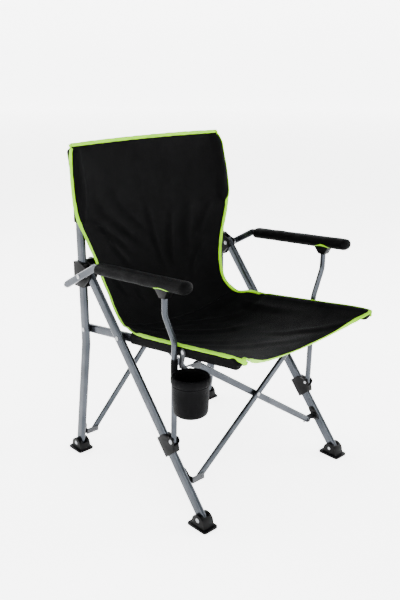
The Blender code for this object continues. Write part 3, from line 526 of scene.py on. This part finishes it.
# Folds in the cloth: ((x, t) from, (x, t) to, half width, height); t counts the edge's points
FOLDS = (
    ((-0.235, 19.2), (-0.060, 14.6), 0.011, 0.0045),
    ((-0.215, 20.6), (-0.020, 14.9), 0.012, 0.0040),
    ((-0.190, 17.6), (-0.075, 13.4), 0.010, 0.0042),
    ((-0.150, 21.0), (0.010, 15.6), 0.010, 0.0026),
    ((-0.020, 19.5), (0.035, 13.0), 0.009, 0.0038),
    ((0.075, 18.6), (0.062, 12.4), 0.010, 0.0036),
    ((0.150, 19.6), (0.115, 13.2), 0.015, 0.0046),
    ((0.225, 18.8), (0.150, 14.4), 0.012, 0.0036),
    ((0.190, 15.2), (0.110, 11.6), 0.009, 0.0040),
    ((-0.180, 14.6), (-0.120, 11.4), 0.009, 0.0040),
    ((-0.090, 13.4), (-0.060, 10.6), 0.008, 0.0034),
    ((0.020, 12.8), (0.010, 10.4), 0.008, 0.0030),
    ((0.080, 12.2), (0.120, 10.2), 0.008, 0.0030),
    ((-0.150, 9.6), (0.150, 4.6), 0.011, 0.0036),
    ((-0.060, 10.2), (0.190, 6.2), 0.010, 0.0034),
    ((-0.200, 7.6), (0.060, 3.4), 0.012, 0.0030),
    ((-0.140, 5.2), (0.120, 1.6), 0.012, 0.0024),
    ((0.210, 8.2), (0.205, 3.2), 0.013, 0.0040),
    ((-0.205, 8.2), (-0.200, 4.0), 0.013, 0.0034),
    ((0.060, 4.4), (0.200, 0.9), 0.010, 0.0024),
)


# Metres to one step of t, and how far a fold bows sideways
STEP, FOLD_BOW = 0.045, 0.010
# Irregular swells: (waves to a metre across, waves to a step of t, noise layer, height in metres)
SWELLS = ((17, 0.62, 3.1, 0.0022), (48, 2.0, 8.7, 0.0007))


def fold_height(x, t):
    """Height of the folds and of small irregular swells at each (x, t)."""
    total = np.zeros_like(x)
    for (x0, t0), (x1, t1), width, height in FOLDS:
        d = np.array([x1 - x0, (t1 - t0) * STEP])
        length = np.hypot(*d)
        px, pt = x - x0, (t - t0) * STEP
        share = (px * d[0] + pt * d[1]) / length**2
        bow = FOLD_BOW * np.sin(np.clip(share, 0, 1) * math.pi)
        off = (px * d[1] - pt * d[0]) / length - bow
        ends = smooth(share, -0.05, 0.3) * smooth(share, 1.05, 0.6)
        ridge = np.exp(-((off / width) ** 2))
        hollow = 0.35 * np.exp(-(((off - 1.9 * width) / width) ** 2))
        total += height * ends * (ridge - hollow)
    swell = [
        sum(noise.noise(Vector((a * u, b * v, layer))) * high for u, v, layer, high in SWELLS)
        for a, b in zip(x.ravel(), t.ravel())
    ]
    return total + np.reshape(swell, x.shape)


def normals_of(grid):
    du = np.gradient(grid, axis=1)
    dv = np.gradient(grid, axis=0)
    n = np.cross(du, dv)
    return n / np.maximum(np.linalg.norm(n, axis=2, keepdims=True), 1e-12)


# Columns of the sling between its sleeves, and in each turn over a tube
COLUMNS, TURN = 84, 5


def sling_grid(first, last, rows):
    """Points of the sling and their UV map between two counts along its edge."""
    t = np.linspace(first, last, rows)
    edge, (lead_a, lead_b, inner) = sleeve_turn(t)
    middle = edge + belly(t)
    middle[:, 0] = 0
    share = np.linspace(-1, 1, COLUMNS + 1)
    fall = (1 - np.abs(share) ** SAG)[None, :, None]
    across = inner[:, None, :] + (middle - inner)[:, None, :] * fall
    across[:, :, 0] = inner[:, None, 0] * share[None, :]
    k = np.linspace(0, 1, TURN + 1)[None, :-1, None]
    e, a, b, i = (p[:, None, :] for p in (edge, lead_a, lead_b, inner))
    bend = e * (1 - k) ** 3 + 3 * a * k * (1 - k) ** 2 + 3 * b * k**2 * (1 - k) + i * k**3
    right = bend[:, ::-1] + right_lead(edge[:, 2])[:, None] * (1 - k[:, ::-1]) ** 2
    grid = np.concatenate([bend * np.array([-1, 1, 1]), across, right], axis=1)
    x = grid[:, :, 0]
    counts = np.broadcast_to(t[:, None], x.shape)
    quiet = smooth(np.abs(x) / inner[:, None, 0], 1.0, 0.86)
    ends = smooth(counts, 0.15, 0.9) * smooth(counts, TOP - 0.2, TOP - 1.4)
    grid = grid + normals_of(grid) * (fold_height(x, counts) * quiet * ends)[:, :, None]
    steps = np.linalg.norm(np.diff(grid, axis=1), axis=2)
    u = np.concatenate([np.zeros((rows, 1)), np.cumsum(steps, axis=1)], axis=1)
    u -= u[:, -1:] / 2
    lengths = np.linalg.norm(np.diff(grid[:, grid.shape[1] // 2], axis=0), axis=1)
    v = np.concatenate([[0], np.cumsum(lengths)])
    uv = np.stack([u, np.broadcast_to(v[:, None], u.shape)], axis=2)
    return grid, uv


def sheet_object(name, grid, uv, look, thickness=SHEET, offset=-1.0, side=1):
    rows, columns = grid.shape[:2]
    faces = ring_faces(rows, columns, closed=False)
    obj = build(name, grid.reshape(-1, 3), faces, look, uv.reshape(-1, 2), side)
    solid = obj.modifiers.new("Thickness", "SOLIDIFY")
    solid.thickness = thickness
    solid.offset = offset
    return obj


# A binding's size, and how far it reaches past the cloth's edge
BINDING_WIDTH, BINDING_THICKNESS, BINDING_OVER = 0.0100, 0.0036, 0.0022


def binding(name, line, inward):
    """Folded tape over an edge: an oval strip whose width lies in the cloth."""
    line, inward = np.asarray(line, float), np.asarray(inward, float)
    tangent = np.gradient(line, axis=0)
    tangent /= np.linalg.norm(tangent, axis=1, keepdims=True)
    inward = inward - tangent * (inward * tangent).sum(1, keepdims=True)
    inward /= np.linalg.norm(inward, axis=1, keepdims=True)
    normal = np.cross(tangent, inward)
    turns = np.linspace(0, 2 * math.pi, 17)[:-1]
    a = np.sign(np.cos(turns)) * np.abs(np.cos(turns)) ** 0.75 * BINDING_WIDTH / 2
    b = np.sign(np.sin(turns)) * np.abs(np.sin(turns)) ** 0.85 * BINDING_THICKNESS / 2
    centre = line + inward * (BINDING_WIDTH / 2 - BINDING_OVER)
    lengths = np.concatenate([[0], np.cumsum(np.linalg.norm(np.diff(line, axis=0), axis=1))])
    ripple = 1 + 0.10 * np.sin(lengths * 160) * np.sin(lengths * 47 + 1)
    across = inward[:, None] * a[None, :, None] * ripple[:, None, None]
    rings = centre[:, None] + across + normal[:, None] * b[None, :, None]
    uv = np.stack(np.broadcast_arrays(lengths[:, None], np.broadcast_to(a, (len(line), len(a)))), axis=2)
    return skin(name, rings, GREEN, uv=uv.reshape(-1, 2))


def side_binding(name, first, last, count, side):
    t = np.linspace(first, last, count)
    edge, (lead, _, _) = sleeve_turn(t)
    mirror = np.array([side, 1, 1])
    shift = right_lead(edge[:, 2]) if side > 0 else 0.0
    return binding(name, edge * mirror + shift, (lead - edge) * mirror - 0.5 * shift)


def end_binding(name, grid, row, inward_row):
    line = grid[row]
    return binding(name, line, grid[inward_row] - line)


# The rear of a back sleeve round its upright, from outside to inside: (dx, dy)
BEHIND_UPRIGHT = (
    (0.0092, 0.0035),
    (0.0090, 0.0125),
    (0.0045, 0.0178),
    (-0.0045, 0.0178),
    (-0.0100, 0.0125),
    (-0.0125, 0.0),
)
SLEEVE_OUTSIDE, SLEEVE_WIDTH = 0.0105, 0.0230
SLEEVE_START, SLEEVE_CLOSE_Z = 18.6, (0.8665, 0.8830)
# How far the rear layer lies behind the cloth: at the outer seam, where it is closed, and at the inner seam
SEAM_BACK, CLOSED_BACK, TUCK_BACK = (np.array([0, back, 0]) for back in (0.0015, 0.0022, 0.0028))


def back_sleeve(name, side):
    """Rear layer of the sleeve round the top of an upright, sewn to the sling at both edges."""
    t = np.linspace(SLEEVE_START, TOP, 60)
    edge, (_, _, inner) = sleeve_turn(t)
    z = edge[:, 2]
    if side > 0:
        edge = edge + right_lead(z)
    xc, yc = upright_centre(z)
    close = smooth(z, *SLEEVE_CLOSE_Z)
    layers = []
    for dx, dy in BEHIND_UPRIGHT:
        round_tube = np.stack([xc + dx, yc + dy, z], 1)
        share = (SLEEVE_OUTSIDE - dx) / SLEEVE_WIDTH
        flat = edge + (inner - edge) * np.clip(share, 0, 1) + CLOSED_BACK
        layers.append(round_tube + (flat - round_tube) * close[:, None])
    knots = np.stack([edge + SEAM_BACK, *layers, inner + TUCK_BACK], axis=1)
    grid = np.stack([curve_at(row, np.linspace(0, len(row) - 1, 29)) for row in knots])
    lengths = np.linalg.norm(np.diff(grid, axis=1), axis=2)
    u = np.concatenate([np.zeros((len(t), 1)), np.cumsum(lengths, axis=1)], axis=1)
    uv = np.stack([u, np.broadcast_to(z[:, None], u.shape)], axis=2)
    return sheet_object(name, grid, uv, CLOTH, SLEEVE_SHEET, 0.0, side)


SLEEVE_SKIN, SLEEVE_SWELL = 0.003, 0.0009


def seat_sleeve(name, side):
    """Sleeve round the front of a seat rail, closed and rounded at its front end."""
    size = (RAIL[0] + 2 * SLEEVE_SKIN, RAIL[1] + 2 * SLEEVE_SKIN)
    front_y = RAIL_FRONT_Y + SLEEVE_SKIN
    front = at(RAIL_X, (front_y, rail_z(front_y)))
    rear = at(RAIL_X, (SEAT_SLEEVE_Y[0], rail_z(SEAT_SLEEVE_Y[0])))
    path = [front.lerp(rear, i / 40) for i in range(41)]
    rings = np.array(sweep_rings(path, size, X_AXIS, (True, False)))
    y = rings[:, :, 1]
    round_ring = np.tile(np.arange(y.shape[1]) * 0.3, len(y))
    wave = [noise.noise(Vector((a * 30, b, side))) * SLEEVE_SWELL for a, b in zip(y.ravel(), round_ring)]
    middle = rings.mean(axis=1, keepdims=True)
    out = rings - middle
    out /= np.maximum(np.linalg.norm(out, axis=2, keepdims=True), 1e-9)
    rings = rings + out * np.reshape(wave, y.shape)[:, :, None]
    count = rings.shape[1]
    uv = np.stack([np.broadcast_to(np.arange(count) * 0.0022, y.shape), y], axis=2)
    return skin(name, rings, CLOTH, side, uv=uv.reshape(-1, 2))


def sling():
    """The back and seat cloths with their bindings and sleeves, each attached to the body it moves with."""
    back_grid, back_uv = sling_grid(SPLIT, TOP, 120)
    seat_grid, seat_uv = sling_grid(0.0, SPLIT, 96)
    back = sheet_object("back_cloth", back_grid, back_uv, CLOTH)
    seat = sheet_object("seat_cloth", seat_grid, seat_uv, CLOTH)
    groups = (
        (back, "upright", "back", BACK_ANCHOR_X, BACK_KEEP),
        (seat, "rail", "seat", SEAT_ANCHOR_X, SEAT_KEEP),
    )
    strips = {
        "back": [end_binding("back_binding_top", back_grid, -1, -4)],
        "seat": [end_binding("seat_binding_front", seat_grid, 0, 3)],
    }
    sleeves = {"back": [], "seat": []}
    for name, side in SIDES:
        strips["back"].append(side_binding(f"back_binding_{name}", SPLIT, TOP, 150, side))
        strips["seat"].append(side_binding(f"seat_binding_{name}", 0.0, SPLIT + BINDING_LAP, 110, side))
        sleeves["back"].append(finish(back_sleeve(f"back_sleeve_{name}", side), f"upright_{name}", "fabric"))
        sleeves["seat"].append(finish(seat_sleeve(f"seat_sleeve_{name}", side), f"rail_{name}", "fabric"))
    for panel, body, key, anchor, keep in groups:
        for piece in (panel, *strips[key]):
            finish(piece, f"{body}_left", "fabric")
            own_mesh(piece)
    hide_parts("back_fabric")
    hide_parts("seat_fabric")


# ---------------------------------------------------------------- armrests


PAD_REAR, PAD_FRONT = 0.1320, -0.2035
PAD_HEIGHT, PAD_WIDTH = 0.0275, 0.0365
PAD_TAIL, PAD_SWELL = 0.004, 0.0011
CUTOUT_HALF, CUTOUT_RISE = 0.0320, math.radians(70)
# Half sizes of the piping's section, lying and upright
PIPING = (0.0044, 0.0012)
STUD_PROFILE = (
    (0.0062, 0.0012),
    (0.0068, 0.0004),
    (0.0068, -0.0004),
    (0.0060, -0.0009),
    (0.0052, -0.0003),
    (0.0044, -0.0001),
    (0, -0.0002),
)


def pad_point(y, turn, scale=1.0):
    """A point on the pad's skin; turn is 0 underneath and grows outwards."""
    slope = (ARM_TIP[1] - ARM_BEND[1]) / (ARM_TIP[0] - ARM_BEND[0])
    z = ARM_BEND[1] + (y - ARM_BEND[0]) * slope
    a = np.sign(np.sin(turn)) * np.abs(np.sin(turn)) ** 0.9 * PAD_WIDTH / 2
    b = -np.sign(np.cos(turn)) * np.abs(np.cos(turn)) ** 0.9 * PAD_HEIGHT / 2
    return np.stack(np.broadcast_arrays(ARMREST_X + a * scale, y, z + b * scale), axis=-1)


def armrest(name, side):
    """Padded sleeve with a bound cut-out over the saddle and a round stud in its front end."""
    r = PAD_HEIGHT / 2
    body = np.linspace(PAD_FRONT + r, PAD_REAR - PAD_TAIL, 150)
    nose_turns = np.radians(np.linspace(84, 4, 12))
    nose = [(PAD_FRONT + r - r * math.sin(t), math.cos(t) ** 0.9) for t in nose_turns]
    tail_turns = np.radians(np.linspace(10, 80, 7))
    tail = [(PAD_REAR - PAD_TAIL + PAD_TAIL * math.sin(t), 1 - 0.20 * (1 - math.cos(t))) for t in tail_turns]
    marks = nose + [(y, 1.0) for y in body] + tail + [(PAD_REAR - PAD_TAIL, 0.62)]
    turns = np.linspace(-math.pi, math.pi, 65)[:-1]
    rings = np.array([pad_point(np.full(len(turns), y), turns, scale) for y, scale in marks])
    centre = pad_point(np.array([m[0] for m in marks]), np.zeros(len(marks)), 0.0)[:, None]
    out = (rings - centre) / np.maximum(np.linalg.norm(rings - centre, axis=2, keepdims=True), 1e-9)
    places = [(p[1] * 26, p[0] * 40, p[2] * 40 + side * 5) for p in rings.reshape(-1, 3)]
    swell = [noise.noise(Vector(place)) * PAD_SWELL for place in places]
    rings = rings + out * np.reshape(swell, rings.shape[:2])[:, :, None]
    y = rings[:, :, 1]
    inside = ((y - SUPPORT_TOP[0]) / CUTOUT_HALF) ** 2 + (turns[None] / CUTOUT_RISE) ** 2 < 1
    count = len(turns)
    flat = inside.ravel()
    faces = [f for f in ring_faces(len(rings), count) if not all(flat[i] for i in f)]
    faces.append(list(range(count))[::-1])
    uv = np.stack([np.broadcast_to(turns * PAD_HEIGHT / 2, y.shape), y], axis=2).reshape(-1, 2)
    used = sorted({i for f in faces for i in f})
    index = {old: new for new, old in enumerate(used)}
    faces = [[index[i] for i in f] for f in faces]
    pad = build(f"armrest_pad_{name}_cloth", rings.reshape(-1, 3)[used], faces, PAD_CLOTH, uv[used], side)
    solid = pad.modifiers.new("Thickness", "SOLIDIFY")
    solid.thickness, solid.offset = SHEET, -1.0
    finish(pad, f"leg_{name}", "pad", f"armrest_pad_{name}")

    angles = np.linspace(0, 2 * math.pi, 97)[:-1]
    ys = SUPPORT_TOP[0] + CUTOUT_HALF * np.cos(angles)
    rise = CUTOUT_RISE * np.sin(angles)
    loop = pad_point(ys, rise, 1.015)
    axis = pad_point(ys, rise, 0.0)
    outward = loop - axis
    outward /= np.linalg.norm(outward, axis=1, keepdims=True)
    tangent = np.roll(loop, -1, axis=0) - np.roll(loop, 1, axis=0)
    tangent /= np.linalg.norm(tangent, axis=1, keepdims=True)
    flat_way = np.cross(tangent, outward)
    wide, thick = PIPING
    section = [(wide * math.cos(t), thick * math.sin(t)) for t in np.linspace(0, 2 * math.pi, 13)[:-1]]
    rings = np.stack([loop + flat_way * a + outward * b for a, b in section], axis=1)
    count = len(section)
    faces = ring_faces(len(rings), count)
    last = (len(rings) - 1) * count
    faces += [[last + i, last + (i + 1) % count, (i + 1) % count, i] for i in range(count)]
    arc = np.concatenate([[0], np.cumsum(np.linalg.norm(np.diff(loop, axis=0), axis=1))])
    uv = np.stack(np.broadcast_arrays(arc[:, None], np.array([a for a, _ in section])[None]), axis=2)
    piping = build(f"armrest_piping_{name}", rings.reshape(-1, 3), faces, GREEN, uv.reshape(-1, 2), side)
    finish(piping, f"leg_{name}", "fabric")

    tip = Vector(pad_point(np.array([PAD_FRONT]), np.array([0.0]), 0.0)[0])
    stud_place = tip + Vector((0, 0.0006, -0.0010))
    stud = turned(f"armrest_stud_{name}", STUD_PROFILE, stud_place, Y_AXIS, PAD_CLOTH, 28, side)
    finish(stud, f"leg_{name}", "pad")


def turned(name, profile, origin, axis, look, steps=48, side=1, wobble=None):
    """A solid of revolution from (radius, distance along axis); a zero radius closes it."""
    around = axis.orthogonal().normalized()
    other = axis.cross(around)
    points, faces, rings = [], [], []
    for radius, distance in profile:
        first = len(points)
        turns = [2 * math.pi * i / steps for i in range(steps)] if radius else [0]
        for t in turns:
            grown = radius + (wobble(t, distance) if wobble and radius else 0)
            points.append(origin + axis * distance + (around * math.cos(t) + other * math.sin(t)) * grown)
        rings.append((first, len(turns)))
    for (low, n), (high, m) in zip(rings, rings[1:]):
        for i in range(steps):
            j = (i + 1) % steps
            quad = [low + i % n, low + j % n, high + j % m, high + i % m]
            faces.append([a for k, a in enumerate(quad) if a != quad[k - 1]])
    lengths = np.concatenate([[0], np.cumsum(np.hypot(*np.diff(np.array(profile), axis=0).T))])
    uv = []
    for (first, n), (radius, _), length in zip(rings, profile, lengths):
        uv += [(2 * math.pi * radius * i / steps, length) for i in range(n)]
    return build(name, points, faces, look, uv, side)


# ---------------------------------------------------------------- cup holder


CUP_CENTRE = (-0.2605, -0.1747)
CUP_BOTTOM = 0.2925
# The cup's section as (radius, height above its bottom)
CUP_BASE = ((0, 0.0012), (0.020, 0.0006), (0.0310, 0), (0.0365, 0.0012), (0.0400, 0.0042), (0.0420, 0.0090))
CUP_WALL = ((0.0428, 0.020), (0.0436, 0.040), (0.0442, 0.060), (0.0446, 0.0755))
CUP_PIPING = ((0.0452, 0.0768), (0.0460, 0.0780), (0.0456, 0.0795), (0.0450, 0.0802))
CUP_COLLAR = (
    (0.0462, 0.0812),
    (0.0476, 0.0840),
    (0.0481, 0.0880),
    (0.0480, 0.0925),
    (0.0470, 0.0965),
    (0.0452, 0.0990),
)
CUP_LIP = (
    (0.0428, 0.1000),
    (0.0402, 0.0990),
    (0.0384, 0.0962),
    (0.0378, 0.0920),
    (0.0384, 0.0860),
    (0.0398, 0.0815),
)
CUP_INSIDE = (
    (0.0412, 0.0760),
    (0.0406, 0.040),
    (0.0396, 0.012),
    (0.0370, 0.0055),
    (0.0300, 0.0040),
    (0, 0.0038),
)
CUP_PROFILE = CUP_BASE + CUP_WALL + CUP_PIPING + CUP_COLLAR + CUP_LIP + CUP_INSIDE
CUP_GATHERS = 22
STRAP_Z = (0.3525, 0.4155)
STRAP_RADIUS, LAP_HEIGHT = 0.0089, 0.0010


def cup_holder():
    """Soft cup with a puffy rolled collar and a piped seam under it."""
    z = CUP_BOTTOM
    def wobble(turn, height):
        share = smooth(height, z + 0.008, z + 0.05)
        pull = noise.noise(Vector((math.cos(turn) * 1.7, math.sin(turn) * 1.7, height * 26))) * 0.0011
        gather = 0.00035 * math.sin(turn * CUP_GATHERS) * smooth(height, z + 0.082, z + 0.092)
        return float(share) * pull + gather

    profile = [(radius, z + rise) for radius, rise in CUP_PROFILE]
    axis = Vector((0, 0, 1))
    cup = turned("cup_cloth_body", profile, Vector((*CUP_CENTRE, 0)), axis, CUP_CLOTH, 96, wobble=wobble)
    finish(cup, "leg_left", "fabric", "cup_holder")


def cup_strap():
    """Webbing loop round the armrest support, with its sewn lap towards the cup."""
    rows, columns = 24, 65
    turns = np.linspace(0, 2 * math.pi, columns)
    zs = np.linspace(*STRAP_Z, rows)
    share = (zs - SUPPORT_FOOT[1]) / (SUPPORT_TOP[1] - SUPPORT_FOOT[1])
    centre_y = SUPPORT_FOOT[0] + (SUPPORT_TOP[0] - SUPPORT_FOOT[0]) * share
    edge = 1 - 0.05 * (np.abs(np.linspace(-1, 1, rows)) > 0.9)
    lap = LAP_HEIGHT * np.exp(-(((turns - 1.5 * math.pi) / 0.45) ** 2))
    radius = STRAP_RADIUS * edge[:, None] + lap[None]
    x = -LEG_X + radius * np.cos(turns)
    y = centre_y[:, None] + radius * np.sin(turns)
    grid = np.stack([x, y, np.broadcast_to(zs[:, None], radius.shape)], axis=2)
    uv = np.stack(np.broadcast_arrays(turns[None] * 0.009, zs[:, None]), axis=2)
    strap = sheet_object("cup_strap_webbing", grid, uv, WEBBING, STRAP_SHEET)
    finish(strap, "leg_left", "webbing", "cup_strap")


# ---------------------------------------------------------------- plastic and metal from the CAD frame


SHARP_ANGLE, BEVEL_ANGLE = math.radians(42), math.radians(40)
WELD_GAP = 0.00001


def softened():
    """A node group that shades a mesh smooth except across sharp edges."""
    group = bpy.data.node_groups.new("soft_shading", "GeometryNodeTree")
    for way in ("INPUT", "OUTPUT"):
        group.interface.new_socket("Geometry", in_out=way, socket_type="NodeSocketGeometry")
    into, out = group.nodes.new("NodeGroupInput"), group.nodes.new("NodeGroupOutput")
    angle = group.nodes.new("GeometryNodeInputMeshEdgeAngle")
    sharp = group.nodes.new("FunctionNodeCompare")
    sharp.operation = "GREATER_THAN"
    sharp.inputs[1].default_value = SHARP_ANGLE
    smooth_faces = group.nodes.new("GeometryNodeSetShadeSmooth")
    sharp_edges = group.nodes.new("GeometryNodeSetShadeSmooth")
    sharp_edges.domain = "EDGE"
    sharp_edges.inputs["Shade Smooth"].default_value = False
    group.links.new(into.outputs[0], smooth_faces.inputs["Geometry"])
    group.links.new(smooth_faces.outputs[0], sharp_edges.inputs["Geometry"])
    group.links.new(angle.outputs["Unsigned Angle"], sharp.inputs[0])
    group.links.new(sharp.outputs[0], sharp_edges.inputs["Selection"])
    group.links.new(sharp_edges.outputs[0], out.inputs[0])
    return group


def dress_frame():
    shading = softened()
    looks = (
        (("slider_hub", "arm_clamp", "arm_saddle"), PLASTIC, 0.0009),
        (("rear_foot", "front_foot"), SOLE, 0.0010),
        (("rear_x_ear", "front_x_ear"), PLASTIC, 0.0005),
        (("rear_x_link", "front_x_link", "seat_x_link"), LINK, 0.0003),
    )
    for node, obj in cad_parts.items():
        if obj.hide_render:
            continue
        look, edge = ZINC, 0.0
        if "rivet" not in node:
            for prefixes, material, width in looks:
                if node.startswith(prefixes):
                    look, edge = material, width
        obj.data.materials.clear()
        obj.data.materials.append(look)
        weld = obj.modifiers.new("Weld", "WELD")
        weld.merge_threshold = WELD_GAP
        if edge:
            bevel = obj.modifiers.new("Edges", "BEVEL")
            bevel.width, bevel.segments = edge, 2
            bevel.limit_method, bevel.angle_limit = "ANGLE", BEVEL_ANGLE
        shade = obj.modifiers.new("Shading", "NODES")
        shade.node_group = shading


# ---------------------------------------------------------------- studio


# The camera: lens, turn about Z, tilt down and place
LENS, AZIMUTH, PITCH = 45.36, math.radians(-42.98), math.radians(18.37)
CAMERA_PLACE = (-1.3557, -1.3821 - STAND_FORWARD, 1.12)
# The floor's flat part, the radius of its turn-up and its top
FLOOR_REACH, FLOOR_TURN, FLOOR_TOP = 14.0, 3, 9.0
FLOOR_TONES = ((0.86, 0.86, 0.86), (0.90, 0.90, 0.90))
FLOOR_GLOW, WORLD_LIGHT = 2.0, 0.30
# Soft lamps: (place, aim, size, watts)
LAMPS = (
    ((-1.8, -2.2, 2.6), (0, 0, 0.4), (1.6, 1.6), 60),
    ((2.6, -1.2, 2.0), (0, 0, 0.4), (1.0, 2.2), 45),
    ((-0.6, 2.6, 2.4), (0, 0, 0.5), (2.4, 0.8), 45),
    ((0.0, 0.0, 3.6), (0, 0, 0), (2.5, 2.5), 50),
)


def studio():
    scene = bpy.context.scene
    scene.view_settings.look = "AgX - Medium High Contrast"
    cam = bpy.data.objects.new("camera", bpy.data.cameras.new("camera"))
    scene.collection.objects.link(cam)
    scene.camera = cam
    cam.data.lens, cam.data.sensor_width = LENS, 36
    level = math.cos(PITCH)
    back = Vector((math.sin(AZIMUTH) * level, -math.cos(AZIMUTH) * level, math.sin(PITCH)))
    cam.location = CAMERA_PLACE
    cam.rotation_mode = "QUATERNION"
    cam.rotation_quaternion = (-back).to_track_quat("-Z", "Y")

    mat, tree, shader = nodes_of("floor")
    shade = texture(tree, 3, 2)
    tree.links.new(ramp(tree, shade, 0.3, 0.7, FLOOR_TONES), shader.inputs["Base Color"])
    shader.inputs["Roughness"].default_value = 0.85
    shader.inputs["Emission Color"].default_value = (1, 1, 1, 1)
    shader.inputs["Emission Strength"].default_value = FLOOR_GLOW
    rise = [(FLOOR_REACH, 0.0)]
    for a in np.radians(np.linspace(10, 90, 9)):
        rise.append((FLOOR_REACH + FLOOR_TURN * math.sin(a), FLOOR_TURN - FLOOR_TURN * math.cos(a)))
    rise.append((FLOOR_REACH + FLOOR_TURN, FLOOR_TOP))
    points = [(0, 0, 0)]
    steps = 48
    turns = [2 * math.pi * i / steps for i in range(steps)]
    for radius, height in rise:
        points += [(radius * math.cos(t), radius * math.sin(t), height) for t in turns]
    faces = [[0, 1 + i, 1 + (i + 1) % steps] for i in range(steps)]
    faces += ring_faces(len(rise), steps, 1)
    floor = build("floor", points, faces, mat)

    world = bpy.data.worlds.new("studio")
    scene.world = world
    world.use_nodes = True
    world.node_tree.nodes["Background"].inputs["Color"].default_value = (1, 1, 1, 1)
    world.node_tree.nodes["Background"].inputs["Strength"].default_value = WORLD_LIGHT
    for place, aim, size, power in LAMPS:
        lamp = bpy.data.lights.new("softbox", "AREA")
        lamp.shape, lamp.size, lamp.size_y, lamp.energy = "RECTANGLE", size[0], size[1], power
        holder = bpy.data.objects.new("softbox", lamp)
        holder.location = place
        holder.rotation_mode = "QUATERNION"
        holder.rotation_quaternion = (Vector(aim) - Vector(place)).to_track_quat("-Z", "Y")
        scene.collection.objects.link(holder)


studio()
for side_name, side_sign in SIDES:
    tubes(side_name, side_sign)
    armrest(side_name, side_sign)
sling()
cup_holder()
cup_strap()
dress_frame()
